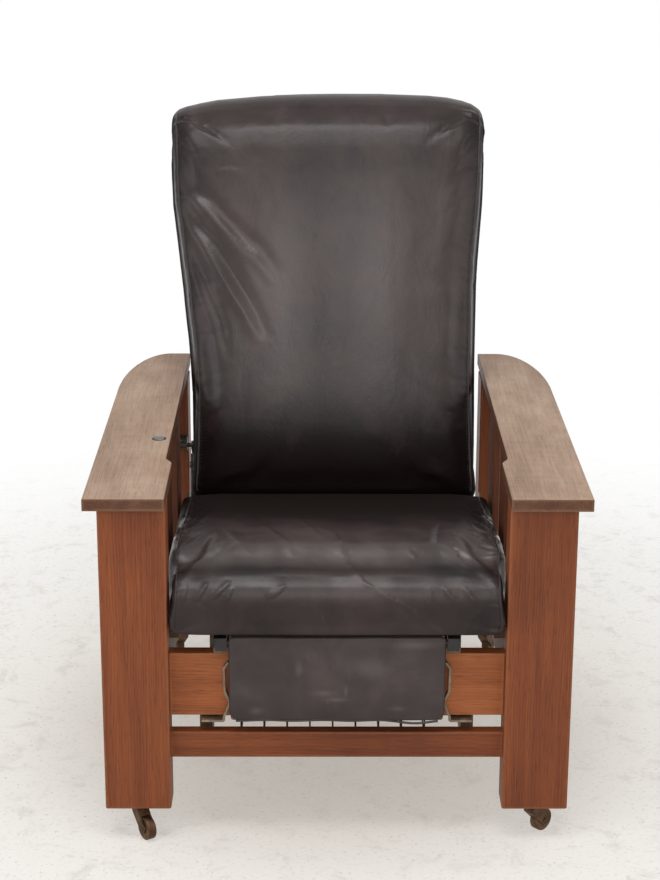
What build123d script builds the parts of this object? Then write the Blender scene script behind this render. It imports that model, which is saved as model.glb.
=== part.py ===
from build123d import *
import math
import os

os.makedirs("parts", exist_ok=True)

# A mission style reclining armchair in oak and leather, with a push-button back latch,
# a pull-out leg rest and a wire basket under the seat, on four casters.
# Millimetres. The floor is Z 0, X is 0 at the middle, the front faces -Y.

# Overall places
front_y = -435.25
arm_top_z = 588.0
arm_thick = 20.0
leg_bottom_z = 56.5
cut_over = 1.0
seat_gap = 0.3
run_gap = 0.05

# Legs and posts
leg_inner_x = 264.6
leg_width = 105.0
leg_depth = 55.0
leg_ease = 2.5
post_set_out = 8.4
post_inner_x = leg_inner_x + post_set_out
post_width = 45.0
post_depth = 70.0
post_from_front = 713.0

# Arms
arm_overhang_front = 15.0
arm_length = 850.0
arm_overhang_side = 20.4
arm_outer_x = leg_inner_x + leg_width + arm_overhang_side
arm_inner_step = 10.5
arm_step_start = 160.0
arm_step_run = 30.0
arm_curve_run = 245.0
arm_curve_width = 80.0
cove_out_share = 0.875
cove_run_share = 0.75
arm_ease = 2.0

# Rails, stretcher and slats
rail_bottom_z = 208.0
rail_height = 107.0
front_rail_back = 30.0
front_rail_thick = 24.0
stretcher_bottom_z = 139.0
stretcher_height = 44.0
stretcher_back = 20.0
stretcher_thick = 22.0
side_rail_set_out = 9.4
side_rail_inner_x = leg_inner_x + side_rail_set_out
side_rail_thick = 24.0
rear_rail_back = 25.0
rear_rail_thick = 24.0
board_ease = 1.5
slat_inset = 3.0
slat_inner_x = side_rail_inner_x + slat_inset
slat_thick = 12.0
slat_width = 90.0
slat_centres = (280.0, 502.0)

# Seat
seat_tilt = 5.0
seat_front_z = 360.0
seat_frame_front = 12.0
seat_frame_side_gap = 6.6
seat_frame_half = leg_inner_x - seat_frame_side_gap
seat_frame_length = 586.0
seat_frame_thick = 22.0
seat_member = 55.0
web_thick = 1.6
web_width = 50.0
web_counts = (4, 5)
cushion_side_gap = 2.6
cushion_half = leg_inner_x - cushion_side_gap
cushion_front = 20.0
cushion_length = 520.0
cushion_front_height = 119.0
cushion_rear_height = 91.0
cushion_crown = 9.0
cushion_lip = 1.5
bulge_height_share = 0.375
shoulder_height_share = 0.75
roll_height_share = 0.94
roll_run_share = 0.375
cleat_thick = 24.0
cleat_height = 26.0
cleat_start = 58.0
cleat_end = 600.0

# Back
back_lean = 18.0
pivot_from_front = 655.0
pivot_z = 345.0
stile_side_gap = 24.6
stile_half = leg_inner_x - stile_side_gap
stile_flare = 22.0
stile_top_half = stile_half + stile_flare
stile_width = 36.0
stile_thick = 25.0
stile_straight = 160.0
stile_tail = 16.0
back_height = 700.0
back_rail_height = 60.0
back_rail_thick = 22.0
back_rail_inset = 20.0
back_middle_share = 0.46
back_panel_thick = 4.0
back_cushion_thick = 120.0
back_cushion_flare = 44.0
back_cushion_half = stile_half + back_cushion_flare
back_cushion_skew = 13.3
back_cushion_over = 52.0
back_cushion_top = back_height + back_cushion_over
back_cushion_crown = 9.0
back_cushion_rear_inset = 5.0
back_cushion_welt_inset = 8.0

# Back pivots
pivot_pin_radius = 6.0
pivot_plate_thick = 4.0
pivot_plate_width = 46.0
pivot_plate_drop = 85.0
pivot_boss_radius = 14.0
pivot_boss_gap = 0.7
pivot_pin_reach = 30.0

# Latch linkage under the button side's arm
button_side_gap = 29.4
button_x = leg_inner_x + button_side_gap
button_from_front = 290.0
button_radius = 9.6
button_cap = 4.0
button_proud = 1.0
button_travel = 5.0
plunger_radius = 3.5
plunger_gap = 0.6
bezel_wall = 2.0
bezel_floor = 2.0
button_gap = 0.4
spring_radius = 6.6
spring_wire = 1.2
spring_turns = 4
latch_plate_shift = 0.3
latch_plate_inner_x = button_x - latch_plate_shift
latch_plate_thick = 4.0
link_inner_x = latch_plate_inner_x + latch_plate_thick + seat_gap
link_thick = 3.0
link_height = 10.0
link_z = 541.0
crank_from_front = 350.0
crank_rise = 62.0
crank_reach = 60.0
crank_half = 6.0
link_pin_radius = 2.5
link_hole_radius = 3.1
crank_pin_radius = 3.0
hanger_gap = 3.0
hanger_inner_x = link_inner_x + link_thick + hanger_gap
hanger_thick = 3.0
hanger_width = 24.0
shaft_from_front = 690.0
shaft_z = 450.0
shaft_radius = 4.0
shaft_proud = 1.0
shaft_past_hanger = 12.0
shaft_outer_x = hanger_inner_x + shaft_past_hanger
bracket_side_gap = 1.0
bracket_inner_x = post_inner_x + bracket_side_gap
ear_thick = 3.0
ear_half = 12.0
quadrant_stand_off = 22.5
quadrant_inner_x = stile_half + quadrant_stand_off
quadrant_thick = 4.0
quadrant_radius = 95.0
quadrant_margin = 6.0
quadrant_hub = 16.0
tooth_depth = 5.0
tooth_count = 5
tooth_gap = 1.4
recline = 32.0

# Leg rest
rest_side_gap = 93.6
rest_half = leg_inner_x - rest_side_gap
rest_top_z = 353.0
rest_bottom_z = 209.5
rest_board_front = 9.0
rest_board_thick = 12.0
rest_board_inset = 3.0
rest_pad_front = 3.0
rest_pad_crown = 0.8
rest_edge_inset = 4.0
rest_hinge_from_front = 15.0
rest_hinge_z = 339.0
rest_travel = 220.0
bar_side_gap = 2.5
bar_inner_x = rest_half + bar_side_gap
bar_width = 18.0
bar_height = 20.0
bar_length = 430.0
bar_front = 5.0
runner_wall = 3.0
runner_height = 15.0
runner_start = 32.0
runner_length = 300.0
runner_gap = 0.5
cross_rail_from_front = 302.5
cross_rail_thick = 22.0
cross_rail_bottom_z = 281.0
cross_strap_width = 30.0
cross_strap_thick = 4.0
cross_strap_inset = 14.0
rest_pin_radius = 3.0
rest_pin_depth = 20.0

# Basket
basket_side_gap = 64.6
basket_end_inner_x = leg_inner_x - basket_side_gap
basket_end_thick = 20.0
basket_end_bottom_z = 150.0
basket_end_height = 50.0
basket_start = 58.0
basket_length = 242.0
basket_wire = 1.3
basket_rim = 2.2
basket_pitch = 37.0
basket_wires = 9
basket_shift = -6.0
basket_inset = 6.0
strap_thick = 3.5
strap_width = 9.0
strap_bow = 8.0
hanger_lap = 14.0
hanger_start_share = 0.2
hanger_end_share = 0.8

# Casters
caster_wheel_radius = 19.0
caster_wheel_width = 14.0
caster_trail = 22.0
caster_axle_radius = 2.5
caster_cheek = 2.5
caster_side_gap = 0.6
caster_crown_z = 44.0
caster_crown_radius = 9.5
caster_boss_radius = 7.5
caster_stem_radius = 4.5
caster_stem_top = 34.0
caster_socket_wall = 1.8
caster_flange_radius = 13.0
caster_flange_thick = 2.0
caster_angles = {"front_left": -56.0, "front_right": 43.0, "rear_left": 118.0, "rear_right": 62.0}

# Places worked out from these sizes
quadrant_outer_x = quadrant_inner_x + quadrant_thick
pivot_boss_end_x = quadrant_outer_x + pivot_boss_gap
shaft_inner_x = quadrant_inner_x - shaft_proud
back_rail_starts = (
    back_rail_inset,
    back_height * back_middle_share,
    back_height - back_rail_height,
)
quarter_turn = 90.0
arm_under_z = arm_top_z - arm_thick
rail_top_z = rail_bottom_z + rail_height
leg_outer_x = leg_inner_x + leg_width
post_front_y = front_y + post_from_front
post_rear_y = post_front_y + post_depth
leg_rear_y = front_y + leg_depth
tilt = math.radians(seat_tilt)
lean = math.radians(back_lean)
pivot_y = front_y + pivot_from_front


def save(piece, name):
    """Label one finished piece and write it."""
    piece.part.label = name
    export_step(piece.part, f"parts/{name}.step")


def slab(x_span, y_span, z_span):
    """A plain board between two limits on each axis, in the running part."""
    with BuildSketch(Plane.XY.offset(z_span[0])) as outline:
        with Locations((sum(x_span) / 2, sum(y_span) / 2)):
            Rectangle(abs(x_span[1] - x_span[0]), abs(y_span[1] - y_span[0]))
    extrude(outline.sketch, amount=z_span[1] - z_span[0])


def sides():
    """The two sides of the chair, by name and sign."""
    return (("left", -1), ("right", 1))


def side_plane(x):
    """The plane at x whose own axes are Y and Z."""
    return Plane(origin=(x, 0, 0), x_dir=(0, 1, 0), z_dir=(1, 0, 0))


def rod(x_from, x_to, y, z, radius, mode=Mode.ADD):
    """A round rod or hole along X, in the running part."""
    with BuildSketch(side_plane(min(x_from, x_to))) as outline:
        with Locations((y, z)):
            Circle(radius)
    extrude(outline.sketch, amount=abs(x_to - x_from), mode=mode)


# Front legs, with the sockets' bores
leg_centre_x = (leg_inner_x + leg_outer_x) / 2
leg_centre_y = front_y + leg_depth / 2
post_centre_x = post_inner_x + post_width / 2
post_centre_y = post_front_y + post_depth / 2
socket_radius = caster_stem_radius + run_gap + caster_socket_wall
socket_depth = caster_stem_top + caster_flange_thick
for name, side in sides():
    with BuildPart() as leg:
        slab((side * leg_inner_x, side * leg_outer_x), (front_y, leg_rear_y), (leg_bottom_z, arm_under_z))
        fillet(leg.edges().filter_by(Axis.Z), leg_ease)
        chamfer(leg.faces().sort_by(Axis.Z)[0].edges(), leg_ease)
        with BuildSketch(Plane.XY.offset(leg_bottom_z)):
            with Locations((side * leg_centre_x, leg_centre_y)):
                Circle(socket_radius)
        extrude(amount=socket_depth, mode=Mode.SUBTRACT)
    save(leg, f"front_leg_{name}")

    with BuildPart() as post:
        x_span = (side * post_inner_x, side * (post_inner_x + post_width))
        slab(x_span, (post_front_y, post_rear_y), (leg_bottom_z, arm_under_z))
        fillet(post.edges().filter_by(Axis.Z), leg_ease)
        chamfer(post.faces().sort_by(Axis.Z)[0].edges(), leg_ease)
        with BuildSketch(Plane.XY.offset(leg_bottom_z)):
            with Locations((side * post_centre_x, post_centre_y)):
                Circle(socket_radius)
        extrude(amount=socket_depth, mode=Mode.SUBTRACT)
    save(post, f"rear_post_{name}")

# Arms, with the stepped inner edge and the curved outer edge at the rear
arm_front_y = front_y - arm_overhang_front
arm_rear_y = arm_front_y + arm_length
arm_inner_rear_x = leg_inner_x + arm_inner_step
step_y = front_y + arm_step_start
curve_y = arm_rear_y - arm_curve_run
curve_x = arm_outer_x - arm_curve_width
bezel_radius = button_radius + button_gap + bezel_wall
for name, side in sides():
    with BuildPart() as arm:
        with BuildSketch(Plane.XY.offset(arm_under_z)):
            with BuildLine():
                front_edge = Line((side * arm_outer_x, arm_front_y), (side * leg_inner_x, arm_front_y))
                inner_front = Line(front_edge @ 1, (side * leg_inner_x, step_y))
                cove = TangentArc(
                    inner_front @ 1,
                    (side * (leg_inner_x + arm_inner_step / 2), step_y + arm_step_run / 2),
                    tangent=inner_front % 1,
                )
                cove_x = leg_inner_x + arm_inner_step * cove_out_share
                cove_y = step_y + arm_step_run * cove_run_share
                cove_end = (side * arm_inner_rear_x, step_y + arm_step_run)
                cove_out = ThreePointArc(cove @ 1, (side * cove_x, cove_y), cove_end)
                inner_rear = Line(cove_out @ 1, (side * arm_inner_rear_x, arm_rear_y))
                rear_edge = Line(inner_rear @ 1, (side * curve_x, arm_rear_y))
                EllipticalCenterArc(
                    (side * curve_x, curve_y),
                    arm_curve_width,
                    arm_curve_run,
                    start_angle=0 if side > 0 else quarter_turn,
                    arc_size=quarter_turn,
                )
                Line((side * arm_outer_x, curve_y), front_edge @ 0)
            make_face()
        extrude(amount=arm_thick)
        fillet(arm.faces().sort_by(Axis.Z)[-1].edges(), arm_ease)
        if side < 0:
            with BuildSketch(Plane.XY.offset(arm_under_z)):
                with Locations((-button_x, front_y + button_from_front)):
                    Circle(bezel_radius)
            extrude(amount=arm_thick, mode=Mode.SUBTRACT)
    save(arm, f"arm_{name}")

# Side rails and slats
for name, side in sides():
    with BuildPart() as rail:
        x_span = (side * side_rail_inner_x, side * (side_rail_inner_x + side_rail_thick))
        slab(x_span, (leg_rear_y, post_front_y), (rail_bottom_z, rail_top_z))
        fillet(rail.edges().filter_by(Axis.Y), board_ease)
    save(rail, f"side_rail_{name}")
with BuildPart() as slats:
    for name, side in sides():
        for centre in slat_centres:
            y_span = (front_y + centre - slat_width / 2, front_y + centre + slat_width / 2)
            slab((side * slat_inner_x, side * (slat_inner_x + slat_thick)), y_span, (rail_top_z, arm_under_z))
    fillet(slats.edges().filter_by(Axis.Z), board_ease)
save(slats, "side_slats")

# Front rail, stretcher and rear rail
front_rail_y = front_y + front_rail_back
stretcher_y = front_y + stretcher_back
rear_rail_y = post_front_y + rear_rail_back
for name, half, start, thick, low, height in (
    ("front_rail", leg_inner_x, front_rail_y, front_rail_thick, rail_bottom_z, rail_height),
    ("front_stretcher", leg_inner_x, stretcher_y, stretcher_thick, stretcher_bottom_z, stretcher_height),
    ("rear_rail", post_inner_x, rear_rail_y, rear_rail_thick, rail_bottom_z, rail_height),
):
    with BuildPart() as rail:
        slab((-half, half), (start, start + thick), (low, low + height))
        fillet(rail.edges().filter_by(Axis.X), board_ease)
    save(rail, name)

# Seat frame, its cleats and webbing, in the plane that slopes down to the rear
seat_normal = (0, math.sin(tilt), math.cos(tilt))
seat_plane = Plane(origin=(0, front_y, seat_front_z), x_dir=(1, 0, 0), z_dir=seat_normal)
frame_middle = seat_frame_front + seat_frame_length / 2
member_reach = seat_frame_half - seat_member / 2
member_run = (seat_frame_length - seat_member) / 2
with BuildPart() as seat_crosses:
    with BuildSketch(seat_plane):
        with Locations((0, frame_middle - member_run), (0, frame_middle + member_run)):
            Rectangle(2 * (seat_frame_half - seat_member), seat_member)
    extrude(amount=seat_frame_thick)
save(seat_crosses, "seat_frame_crosses")
with BuildPart() as seat_sides:
    with BuildSketch(seat_plane):
        with Locations((-member_reach, frame_middle), (member_reach, frame_middle)):
            Rectangle(seat_member, seat_frame_length)
    extrude(amount=seat_frame_thick)
save(seat_sides, "seat_frame_sides")

lengthwise, crosswise = web_counts
with BuildPart() as webbing:
    with BuildSketch(seat_plane.offset(-web_thick)):
        with Locations((0, frame_middle)):
            with GridLocations(2 * (seat_frame_half - seat_member) / lengthwise, 0, lengthwise, 1):
                Rectangle(web_width, seat_frame_length - seat_member)
            with GridLocations(0, (seat_frame_length - 2 * seat_member) / crosswise, 1, crosswise):
                Rectangle(2 * seat_frame_half - seat_member, web_width)
    extrude(amount=web_thick)
save(webbing, "seat_webbing")

cleat_front_y = front_y + cleat_start
cleat_rear_y = front_y + cleat_end
cleat_front_z = seat_front_z - cleat_start * math.tan(tilt)
cleat_rear_z = seat_front_z - cleat_end * math.tan(tilt)
with BuildPart() as seat_cleats:
    for name, side in sides():
        with BuildSketch(side_plane(side * side_rail_inner_x)):
            with BuildLine():
                Polyline(
                    (cleat_front_y, cleat_front_z - cleat_height),
                    (cleat_rear_y, cleat_rear_z - cleat_height),
                    (cleat_rear_y, cleat_rear_z),
                    (cleat_front_y, cleat_front_z),
                    close=True,
                )
            make_face()
        extrude(amount=-side * cleat_thick)
save(seat_cleats, "seat_cleats")


# Seat cushion: lofted across the chair, full in the middle and drawn in at both sides
def seat_section(x, rise_share, front_share):
    """One closed outline of the seat cushion, square across the chair at x."""
    section_plane = Plane(
        origin=(x, front_y, seat_front_z),
        x_dir=(0, math.cos(tilt), -math.sin(tilt)),
        z_dir=(1, 0, 0),
    )
    front = -cushion_front * front_share
    face = front / 2
    top = cushion_front_height * rise_share
    rear_top = cushion_rear_height * rise_share
    seat = seat_frame_thick + seat_gap
    notch = seat_frame_front - seat_gap
    roll = cushion_front * 2
    shoulder = top * shoulder_height_share
    crown = ((roll + cushion_length) / 2, (top + rear_top) / 2 + cushion_crown * rise_share)
    with BuildSketch(section_plane) as section:
        with BuildLine():
            lip = (face, -cushion_lip)
            Polyline((cushion_length, rear_top), (cushion_length, seat), (notch, seat), (notch, 0), lip)
            ThreePointArc(lip, (front, top * bulge_height_share), (face, shoulder))
            rolled = (cushion_front * roll_run_share, top * roll_height_share)
            ThreePointArc((face, shoulder), rolled, (roll, top))
            ThreePointArc((roll, top), crown, (cushion_length, rear_top))
        make_face()
    return section


seat_half_shares = (
    (1.0, 0.80, 0.55),
    (0.98, 0.88, 0.78),
    (0.94, 0.945, 0.90),
    (0.86, 0.975, 0.96),
    (0.70, 0.99, 0.99),
    (0.45, 1.005, 1.0),
    (0.20, 1.018, 1.0),
)
with BuildPart() as seat_cushion:
    for width_share, rise_share, front_share in seat_half_shares:
        add(seat_section(-width_share * cushion_half, rise_share, front_share).sketch)
    for width_share, rise_share, front_share in reversed(seat_half_shares):
        add(seat_section(width_share * cushion_half, rise_share, front_share).sketch)
    loft(ruled=True)
save(seat_cushion, "seat_cushion")

# Back frame, in the plane that leans back from the pivots
back_normal = (0, -math.cos(lean), math.sin(lean))
back_plane = Plane(origin=(0, pivot_y, pivot_z), x_dir=(1, 0, 0), z_dir=back_normal)
for name, side in sides():
    with BuildPart() as stile:
        with BuildSketch(back_plane.offset(-stile_thick / 2)):
            with BuildLine():
                Polyline(
                    (side * stile_half, -stile_tail),
                    (side * stile_half, stile_straight),
                    (side * stile_top_half, back_height),
                    (side * (stile_top_half - stile_width), back_height),
                    (side * (stile_half - stile_width), stile_straight),
                    (side * (stile_half - stile_width), -stile_tail),
                    close=True,
                )
            make_face()
        extrude(amount=stile_thick)
        bore_start = side * (stile_half - stile_width - cut_over)
        bore_end = side * (stile_half + cut_over)
        rod(bore_start, bore_end, pivot_y, pivot_z, pivot_pin_radius + run_gap, Mode.SUBTRACT)
    save(stile, f"back_stile_{name}")


def stile_inner(height):
    """Half the clear width between the stiles at a height up the back."""
    share = max(0, (height - stile_straight) / (back_height - stile_straight))
    return stile_half - stile_width + share * (stile_top_half - stile_half)


for name, start in zip(("bottom", "middle", "top"), back_rail_starts):
    with BuildPart() as rail:
        with BuildSketch(back_plane.offset(-back_rail_thick / 2)):
            low = stile_inner(start)
            end = start + back_rail_height
            high = stile_inner(end)
            with BuildLine():
                Polyline((-low, start), (low, start), (high, end), (-high, end), close=True)
            make_face()
        extrude(amount=back_rail_thick)
    save(rail, f"back_{name}_rail")

with BuildPart() as back_panel:
    with BuildSketch(back_plane.offset(-stile_thick / 2 - back_panel_thick)):
        with BuildLine():
            low = stile_half - stile_width / 2
            high = stile_top_half - stile_width / 2
            bottom = back_rail_starts[0] + back_rail_height / 2
            Polyline(
                (-low, bottom),
                (low, bottom),
                (low, stile_straight),
                (high, back_height),
                (-high, back_height),
                (-low, stile_straight),
                close=True,
            )
        make_face()
    extrude(amount=back_panel_thick)
save(back_panel, "back_panel")


# Back cushion: lofted up the back, flared to the top, leaning to one side and rolled over above
def back_section(height, width_share, skew_share, thick_share):
    """One closed outline of the back cushion, square across the back at a height."""
    base = back_plane.origin + back_plane.y_dir * height
    section_plane = Plane(origin=base, x_dir=(1, 0, 0), z_dir=back_plane.y_dir)
    centre = -back_cushion_skew * skew_share
    half = back_cushion_half * width_share
    rear_half = half - back_cushion_rear_inset
    front_half = half - back_cushion_welt_inset
    rear = -stile_thick / 2 - seat_gap
    front = rear - back_cushion_thick * thick_share
    crown = front - back_cushion_crown * thick_share
    middle = (rear + front) / 2
    with BuildSketch(section_plane) as section:
        with BuildLine():
            Line((centre - rear_half, rear), (centre + rear_half, rear))
            ThreePointArc((centre + rear_half, rear), (centre + half, middle), (centre + front_half, front))
            ThreePointArc((centre + front_half, front), (centre, crown), (centre - front_half, front))
            ThreePointArc((centre - front_half, front), (centre - half, middle), (centre - rear_half, rear))
        make_face()
    return section


back_shares = (
    (0.008, 0.872, 0.35, 0.88),
    (0.025, 0.890, 0.36, 0.96),
    (0.055, 0.896, 0.38, 1.0),
    (0.17, 0.897, 0.44, 1.0),
    (0.27, 0.908, 0.50, 1.0),
    (0.40, 0.919, 0.60, 1.0),
    (0.465, 0.931, 0.71, 1.0),
    (0.53, 0.944, 0.80, 1.0),
    (0.60, 0.960, 0.86, 1.0),
    (0.665, 0.975, 0.92, 1.0),
    (0.73, 0.989, 0.96, 1.0),
    (0.80, 0.997, 0.95, 1.0),
    (0.87, 0.998, 0.94, 1.0),
    (0.93, 0.993, 0.89, 0.99),
    (0.955, 0.982, 0.87, 0.95),
    (0.975, 0.955, 0.87, 0.88),
    (0.99, 0.910, 0.87, 0.78),
    (1.0, 0.825, 0.87, 0.62),
)
with BuildPart() as back_cushion:
    for height_share, width_share, skew_share, thick_share in back_shares:
        add(back_section(height_share * back_cushion_top, width_share, skew_share, thick_share).sketch)
    loft(ruled=True)
save(back_cushion, "back_cushion")

# Back pivots: a plate on each side rail, and its pin in the stile
with BuildPart() as pivot_plates:
    for name, side in sides():
        plate_x = side * side_rail_inner_x
        with BuildSketch(side_plane(plate_x)):
            with Locations((pivot_y, pivot_z)):
                Circle(pivot_plate_width / 2)
            with Locations((pivot_y, pivot_z - pivot_plate_drop / 2)):
                Rectangle(pivot_plate_width, pivot_plate_drop)
        extrude(amount=-side * pivot_plate_thick)
        rod(plate_x, side * pivot_boss_end_x, pivot_y, pivot_z, pivot_boss_radius)
        bore_end = side * (pivot_boss_end_x - cut_over)
        rod(plate_x, bore_end, pivot_y, pivot_z, pivot_pin_radius, Mode.SUBTRACT)
save(pivot_plates, "pivot_plates")

with BuildPart() as pivot_pins:
    for name, side in sides():
        pin_end = side * (stile_half - pivot_pin_reach)
        rod(side * side_rail_inner_x, pin_end, pivot_y, pivot_z, pivot_pin_radius)
save(pivot_pins, "pivot_pins")

with BuildPart() as pivot_spacers:
    for side, spacer_end in ((-1, quadrant_inner_x), (1, pivot_boss_end_x - seat_gap)):
        rod(side * stile_half, side * spacer_end, pivot_y, pivot_z, pivot_boss_radius)
        bore_start = side * (stile_half - cut_over)
        bore_end = side * (spacer_end + cut_over)
        rod(bore_start, bore_end, pivot_y, pivot_z, pivot_pin_radius + run_gap, Mode.SUBTRACT)
save(pivot_spacers, "pivot_spacers")

# Latch linkage on the left side: all of it lies in planes square to X
button_y = front_y + button_from_front
cap_top_z = arm_top_z + button_proud
cap_under_z = cap_top_z - button_cap
crank_y = front_y + crank_from_front
crank_z = link_z - crank_rise
plunger_end_z = crank_z + crank_half + plunger_gap
shaft_y = front_y + shaft_from_front
latch_plate_outer_x = latch_plate_inner_x + latch_plate_thick
link_outer_x = link_inner_x + link_thick
pin_end_x = link_outer_x + seat_gap

with BuildPart() as bezel:
    with BuildSketch(Plane.XY.offset(arm_under_z)):
        with Locations((-button_x, button_y)):
            Circle(bezel_radius)
            Circle(plunger_radius + button_gap, mode=Mode.SUBTRACT)
    extrude(amount=arm_thick)
    with BuildSketch(Plane.XY.offset(arm_under_z + bezel_floor)):
        with Locations((-button_x, button_y)):
            Circle(button_radius + button_gap)
    extrude(amount=arm_thick, mode=Mode.SUBTRACT)
save(bezel, "button_bezel")

with BuildPart() as button:
    with BuildSketch(Plane.XY.offset(cap_under_z)):
        with Locations((-button_x, button_y)):
            Circle(button_radius)
    extrude(amount=button_cap)
    fillet(button.faces().sort_by(Axis.Z)[-1].edges(), button_proud)
    with BuildSketch(Plane.XY.offset(plunger_end_z)):
        with Locations((-button_x, button_y)):
            Circle(plunger_radius)
    extrude(amount=cap_under_z - plunger_end_z)
save(button, "push_button")

spring_start = arm_under_z + bezel_floor + spring_wire / 2 + seat_gap
spring_end = cap_under_z - spring_wire / 2 - seat_gap
spring_height = spring_end - spring_start
with BuildPart() as spring:
    with BuildLine() as coil:
        Helix(
            pitch=spring_height / spring_turns,
            height=spring_height,
            radius=spring_radius,
            center=(-button_x, button_y, spring_start),
        )
    with BuildSketch(Plane(origin=coil.line @ 0, z_dir=coil.line % 0)):
        Circle(spring_wire / 2)
    sweep(path=coil.line, is_frenet=True)
save(spring, "button_spring")

with BuildPart() as hanger:
    with BuildSketch(side_plane(-hanger_inner_x - hanger_thick)):
        with BuildLine():
            foot = hanger_width / 2
            near = crank_y - foot
            far = crank_y + foot
            Polyline((far, arm_under_z), (near, arm_under_z), (near, crank_z))
            ThreePointArc((near, crank_z), (crank_y, crank_z - foot), (far, crank_z))
            Line((far, crank_z), (far, arm_under_z))
        make_face()
    extrude(amount=hanger_thick)
    foot_span = (-hanger_inner_x - hanger_width, -hanger_inner_x)
    slab(foot_span, (near, far), (arm_under_z - hanger_thick, arm_under_z))
    rod(-hanger_inner_x - hanger_thick, -latch_plate_inner_x, crank_y, crank_z, crank_pin_radius)
save(hanger, "crank_hanger")


def latch_plate(name, holes, arms, x_inner, thick, pin_at=None):
    """A flat lever with round ends: its bores, and the pin that it carries."""
    with BuildPart() as lever:
        for arm_from, arm_to in arms:
            with BuildSketch(side_plane(-x_inner - thick)) as outline:
                for (y, z), end_radius in (arm_from, arm_to):
                    with Locations((y, z)):
                        Circle(end_radius)
                make_hull()
            extrude(outline.sketch, amount=thick)
        for (y, z), hole_radius in holes:
            rod(-x_inner - thick - cut_over, -x_inner + cut_over, y, z, hole_radius, Mode.SUBTRACT)
        if pin_at:
            rod(-x_inner - thick, -pin_end_x, pin_at[0], pin_at[1], link_pin_radius)
    save(lever, name)


crank_hub = ((crank_y, crank_z), crank_half + plunger_radius / 2)
crank_front = ((crank_y - crank_reach, crank_z), crank_half)
crank_top = ((crank_y, link_z), crank_half)
latch_plate(
    "bell_crank",
    (((crank_y, crank_z), crank_pin_radius + run_gap),),
    ((crank_hub, crank_front), (crank_hub, crank_top)),
    latch_plate_inner_x,
    latch_plate_thick,
    (crank_y, link_z),
)
latch_plate(
    "link_bar",
    (((crank_y, link_z), link_hole_radius), ((shaft_y, link_z), link_hole_radius)),
    ((((crank_y, link_z), link_height / 2), ((shaft_y, link_z), link_height / 2)),),
    link_inner_x,
    link_thick,
)
shaft_hub = ((shaft_y, shaft_z), shaft_radius * 2)

# The pawl reaches the ratchet quadrant where its tangent passes through the shaft
shaft_reach = math.hypot(shaft_y - pivot_y, shaft_z - pivot_z)
shaft_angle = math.atan2(shaft_y - pivot_y, shaft_z - pivot_z)
tooth_angle = shaft_angle + math.acos(quadrant_radius / shaft_reach)
tip_radius = shaft_radius * 3 / 4
tip_reach = quadrant_radius + tooth_gap + tip_radius


def about_pivot(angle, reach):
    """A place at an angle behind upright and a distance from the back's pivots."""
    return (pivot_y + reach * math.sin(angle), pivot_z + reach * math.cos(angle))


latch_plate(
    "latch_pawl",
    (((shaft_y, shaft_z), shaft_radius),),
    ((shaft_hub, (about_pivot(tooth_angle, tip_reach), tip_radius)),),
    quadrant_inner_x,
    quadrant_thick,
)
with BuildPart() as shaft:
    rod(-shaft_outer_x - cut_over, -shaft_inner_x, shaft_y, shaft_z, shaft_radius)
    with BuildSketch(side_plane(-latch_plate_outer_x)):
        with Locations((shaft_y, shaft_z)):
            Circle(shaft_radius * 2)
        with Locations((shaft_y, link_z)):
            Circle(crank_half)
        make_hull()
    extrude(amount=latch_plate_thick)
    rod(-latch_plate_outer_x, -pin_end_x, shaft_y, link_z, link_pin_radius)
save(shaft, "latch_shaft")

with BuildPart() as bracket:
    slab(
        (-shaft_outer_x, -bracket_inner_x),
        (post_front_y - ear_thick, post_front_y),
        (shaft_z - ear_half, shaft_z + ear_half),
    )
    high = shaft_z + ear_half
    low = shaft_z - ear_half
    for ear_x in (-bracket_inner_x - ear_thick, -shaft_outer_x):
        with BuildSketch(side_plane(ear_x)):
            with BuildLine():
                Polyline((shaft_y, high), (post_front_y, high), (post_front_y, low), (shaft_y, low))
                ThreePointArc((shaft_y, low), (shaft_y - ear_half, shaft_z), (shaft_y, high))
            make_face()
        extrude(amount=ear_thick)
    bore_start = -shaft_outer_x - cut_over
    bore_end = -bracket_inner_x + cut_over
    rod(bore_start, bore_end, shaft_y, shaft_z, shaft_radius + run_gap, Mode.SUBTRACT)
save(bracket, "latch_bracket")

# Ratchet quadrant on the back, with a round notch for each reclined place
start_angle = tooth_angle - math.radians(recline + quadrant_margin)
end_angle = tooth_angle + math.radians(quadrant_margin)
spacer_reach = quadrant_radius - quadrant_hub - tooth_depth
notch_step = math.radians(recline) / (tooth_count - 1)
notch_angles = [tooth_angle - notch_step * step for step in range(tooth_count)]
with BuildPart() as quadrant:
    with BuildSketch(side_plane(-quadrant_inner_x - quadrant_thick)):
        with BuildLine():
            rim_start = about_pivot(start_angle, quadrant_radius)
            rim_middle = about_pivot((start_angle + end_angle) / 2, quadrant_radius)
            rim_end = about_pivot(end_angle, quadrant_radius)
            Line((pivot_y, pivot_z), rim_start)
            ThreePointArc(rim_start, rim_middle, rim_end)
            Line(rim_end, (pivot_y, pivot_z))
        make_face()
        with Locations((pivot_y, pivot_z)):
            Circle(quadrant_hub)
            Circle(pivot_pin_radius + run_gap, mode=Mode.SUBTRACT)
        with Locations(*[about_pivot(angle, quadrant_radius) for angle in notch_angles]):
            Circle(tip_radius + tooth_gap, mode=Mode.SUBTRACT)
        with Locations(about_pivot(lean, spacer_reach)):
            Circle(crank_pin_radius, mode=Mode.SUBTRACT)
    extrude(amount=quadrant_thick)
save(quadrant, "ratchet_quadrant")

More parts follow.
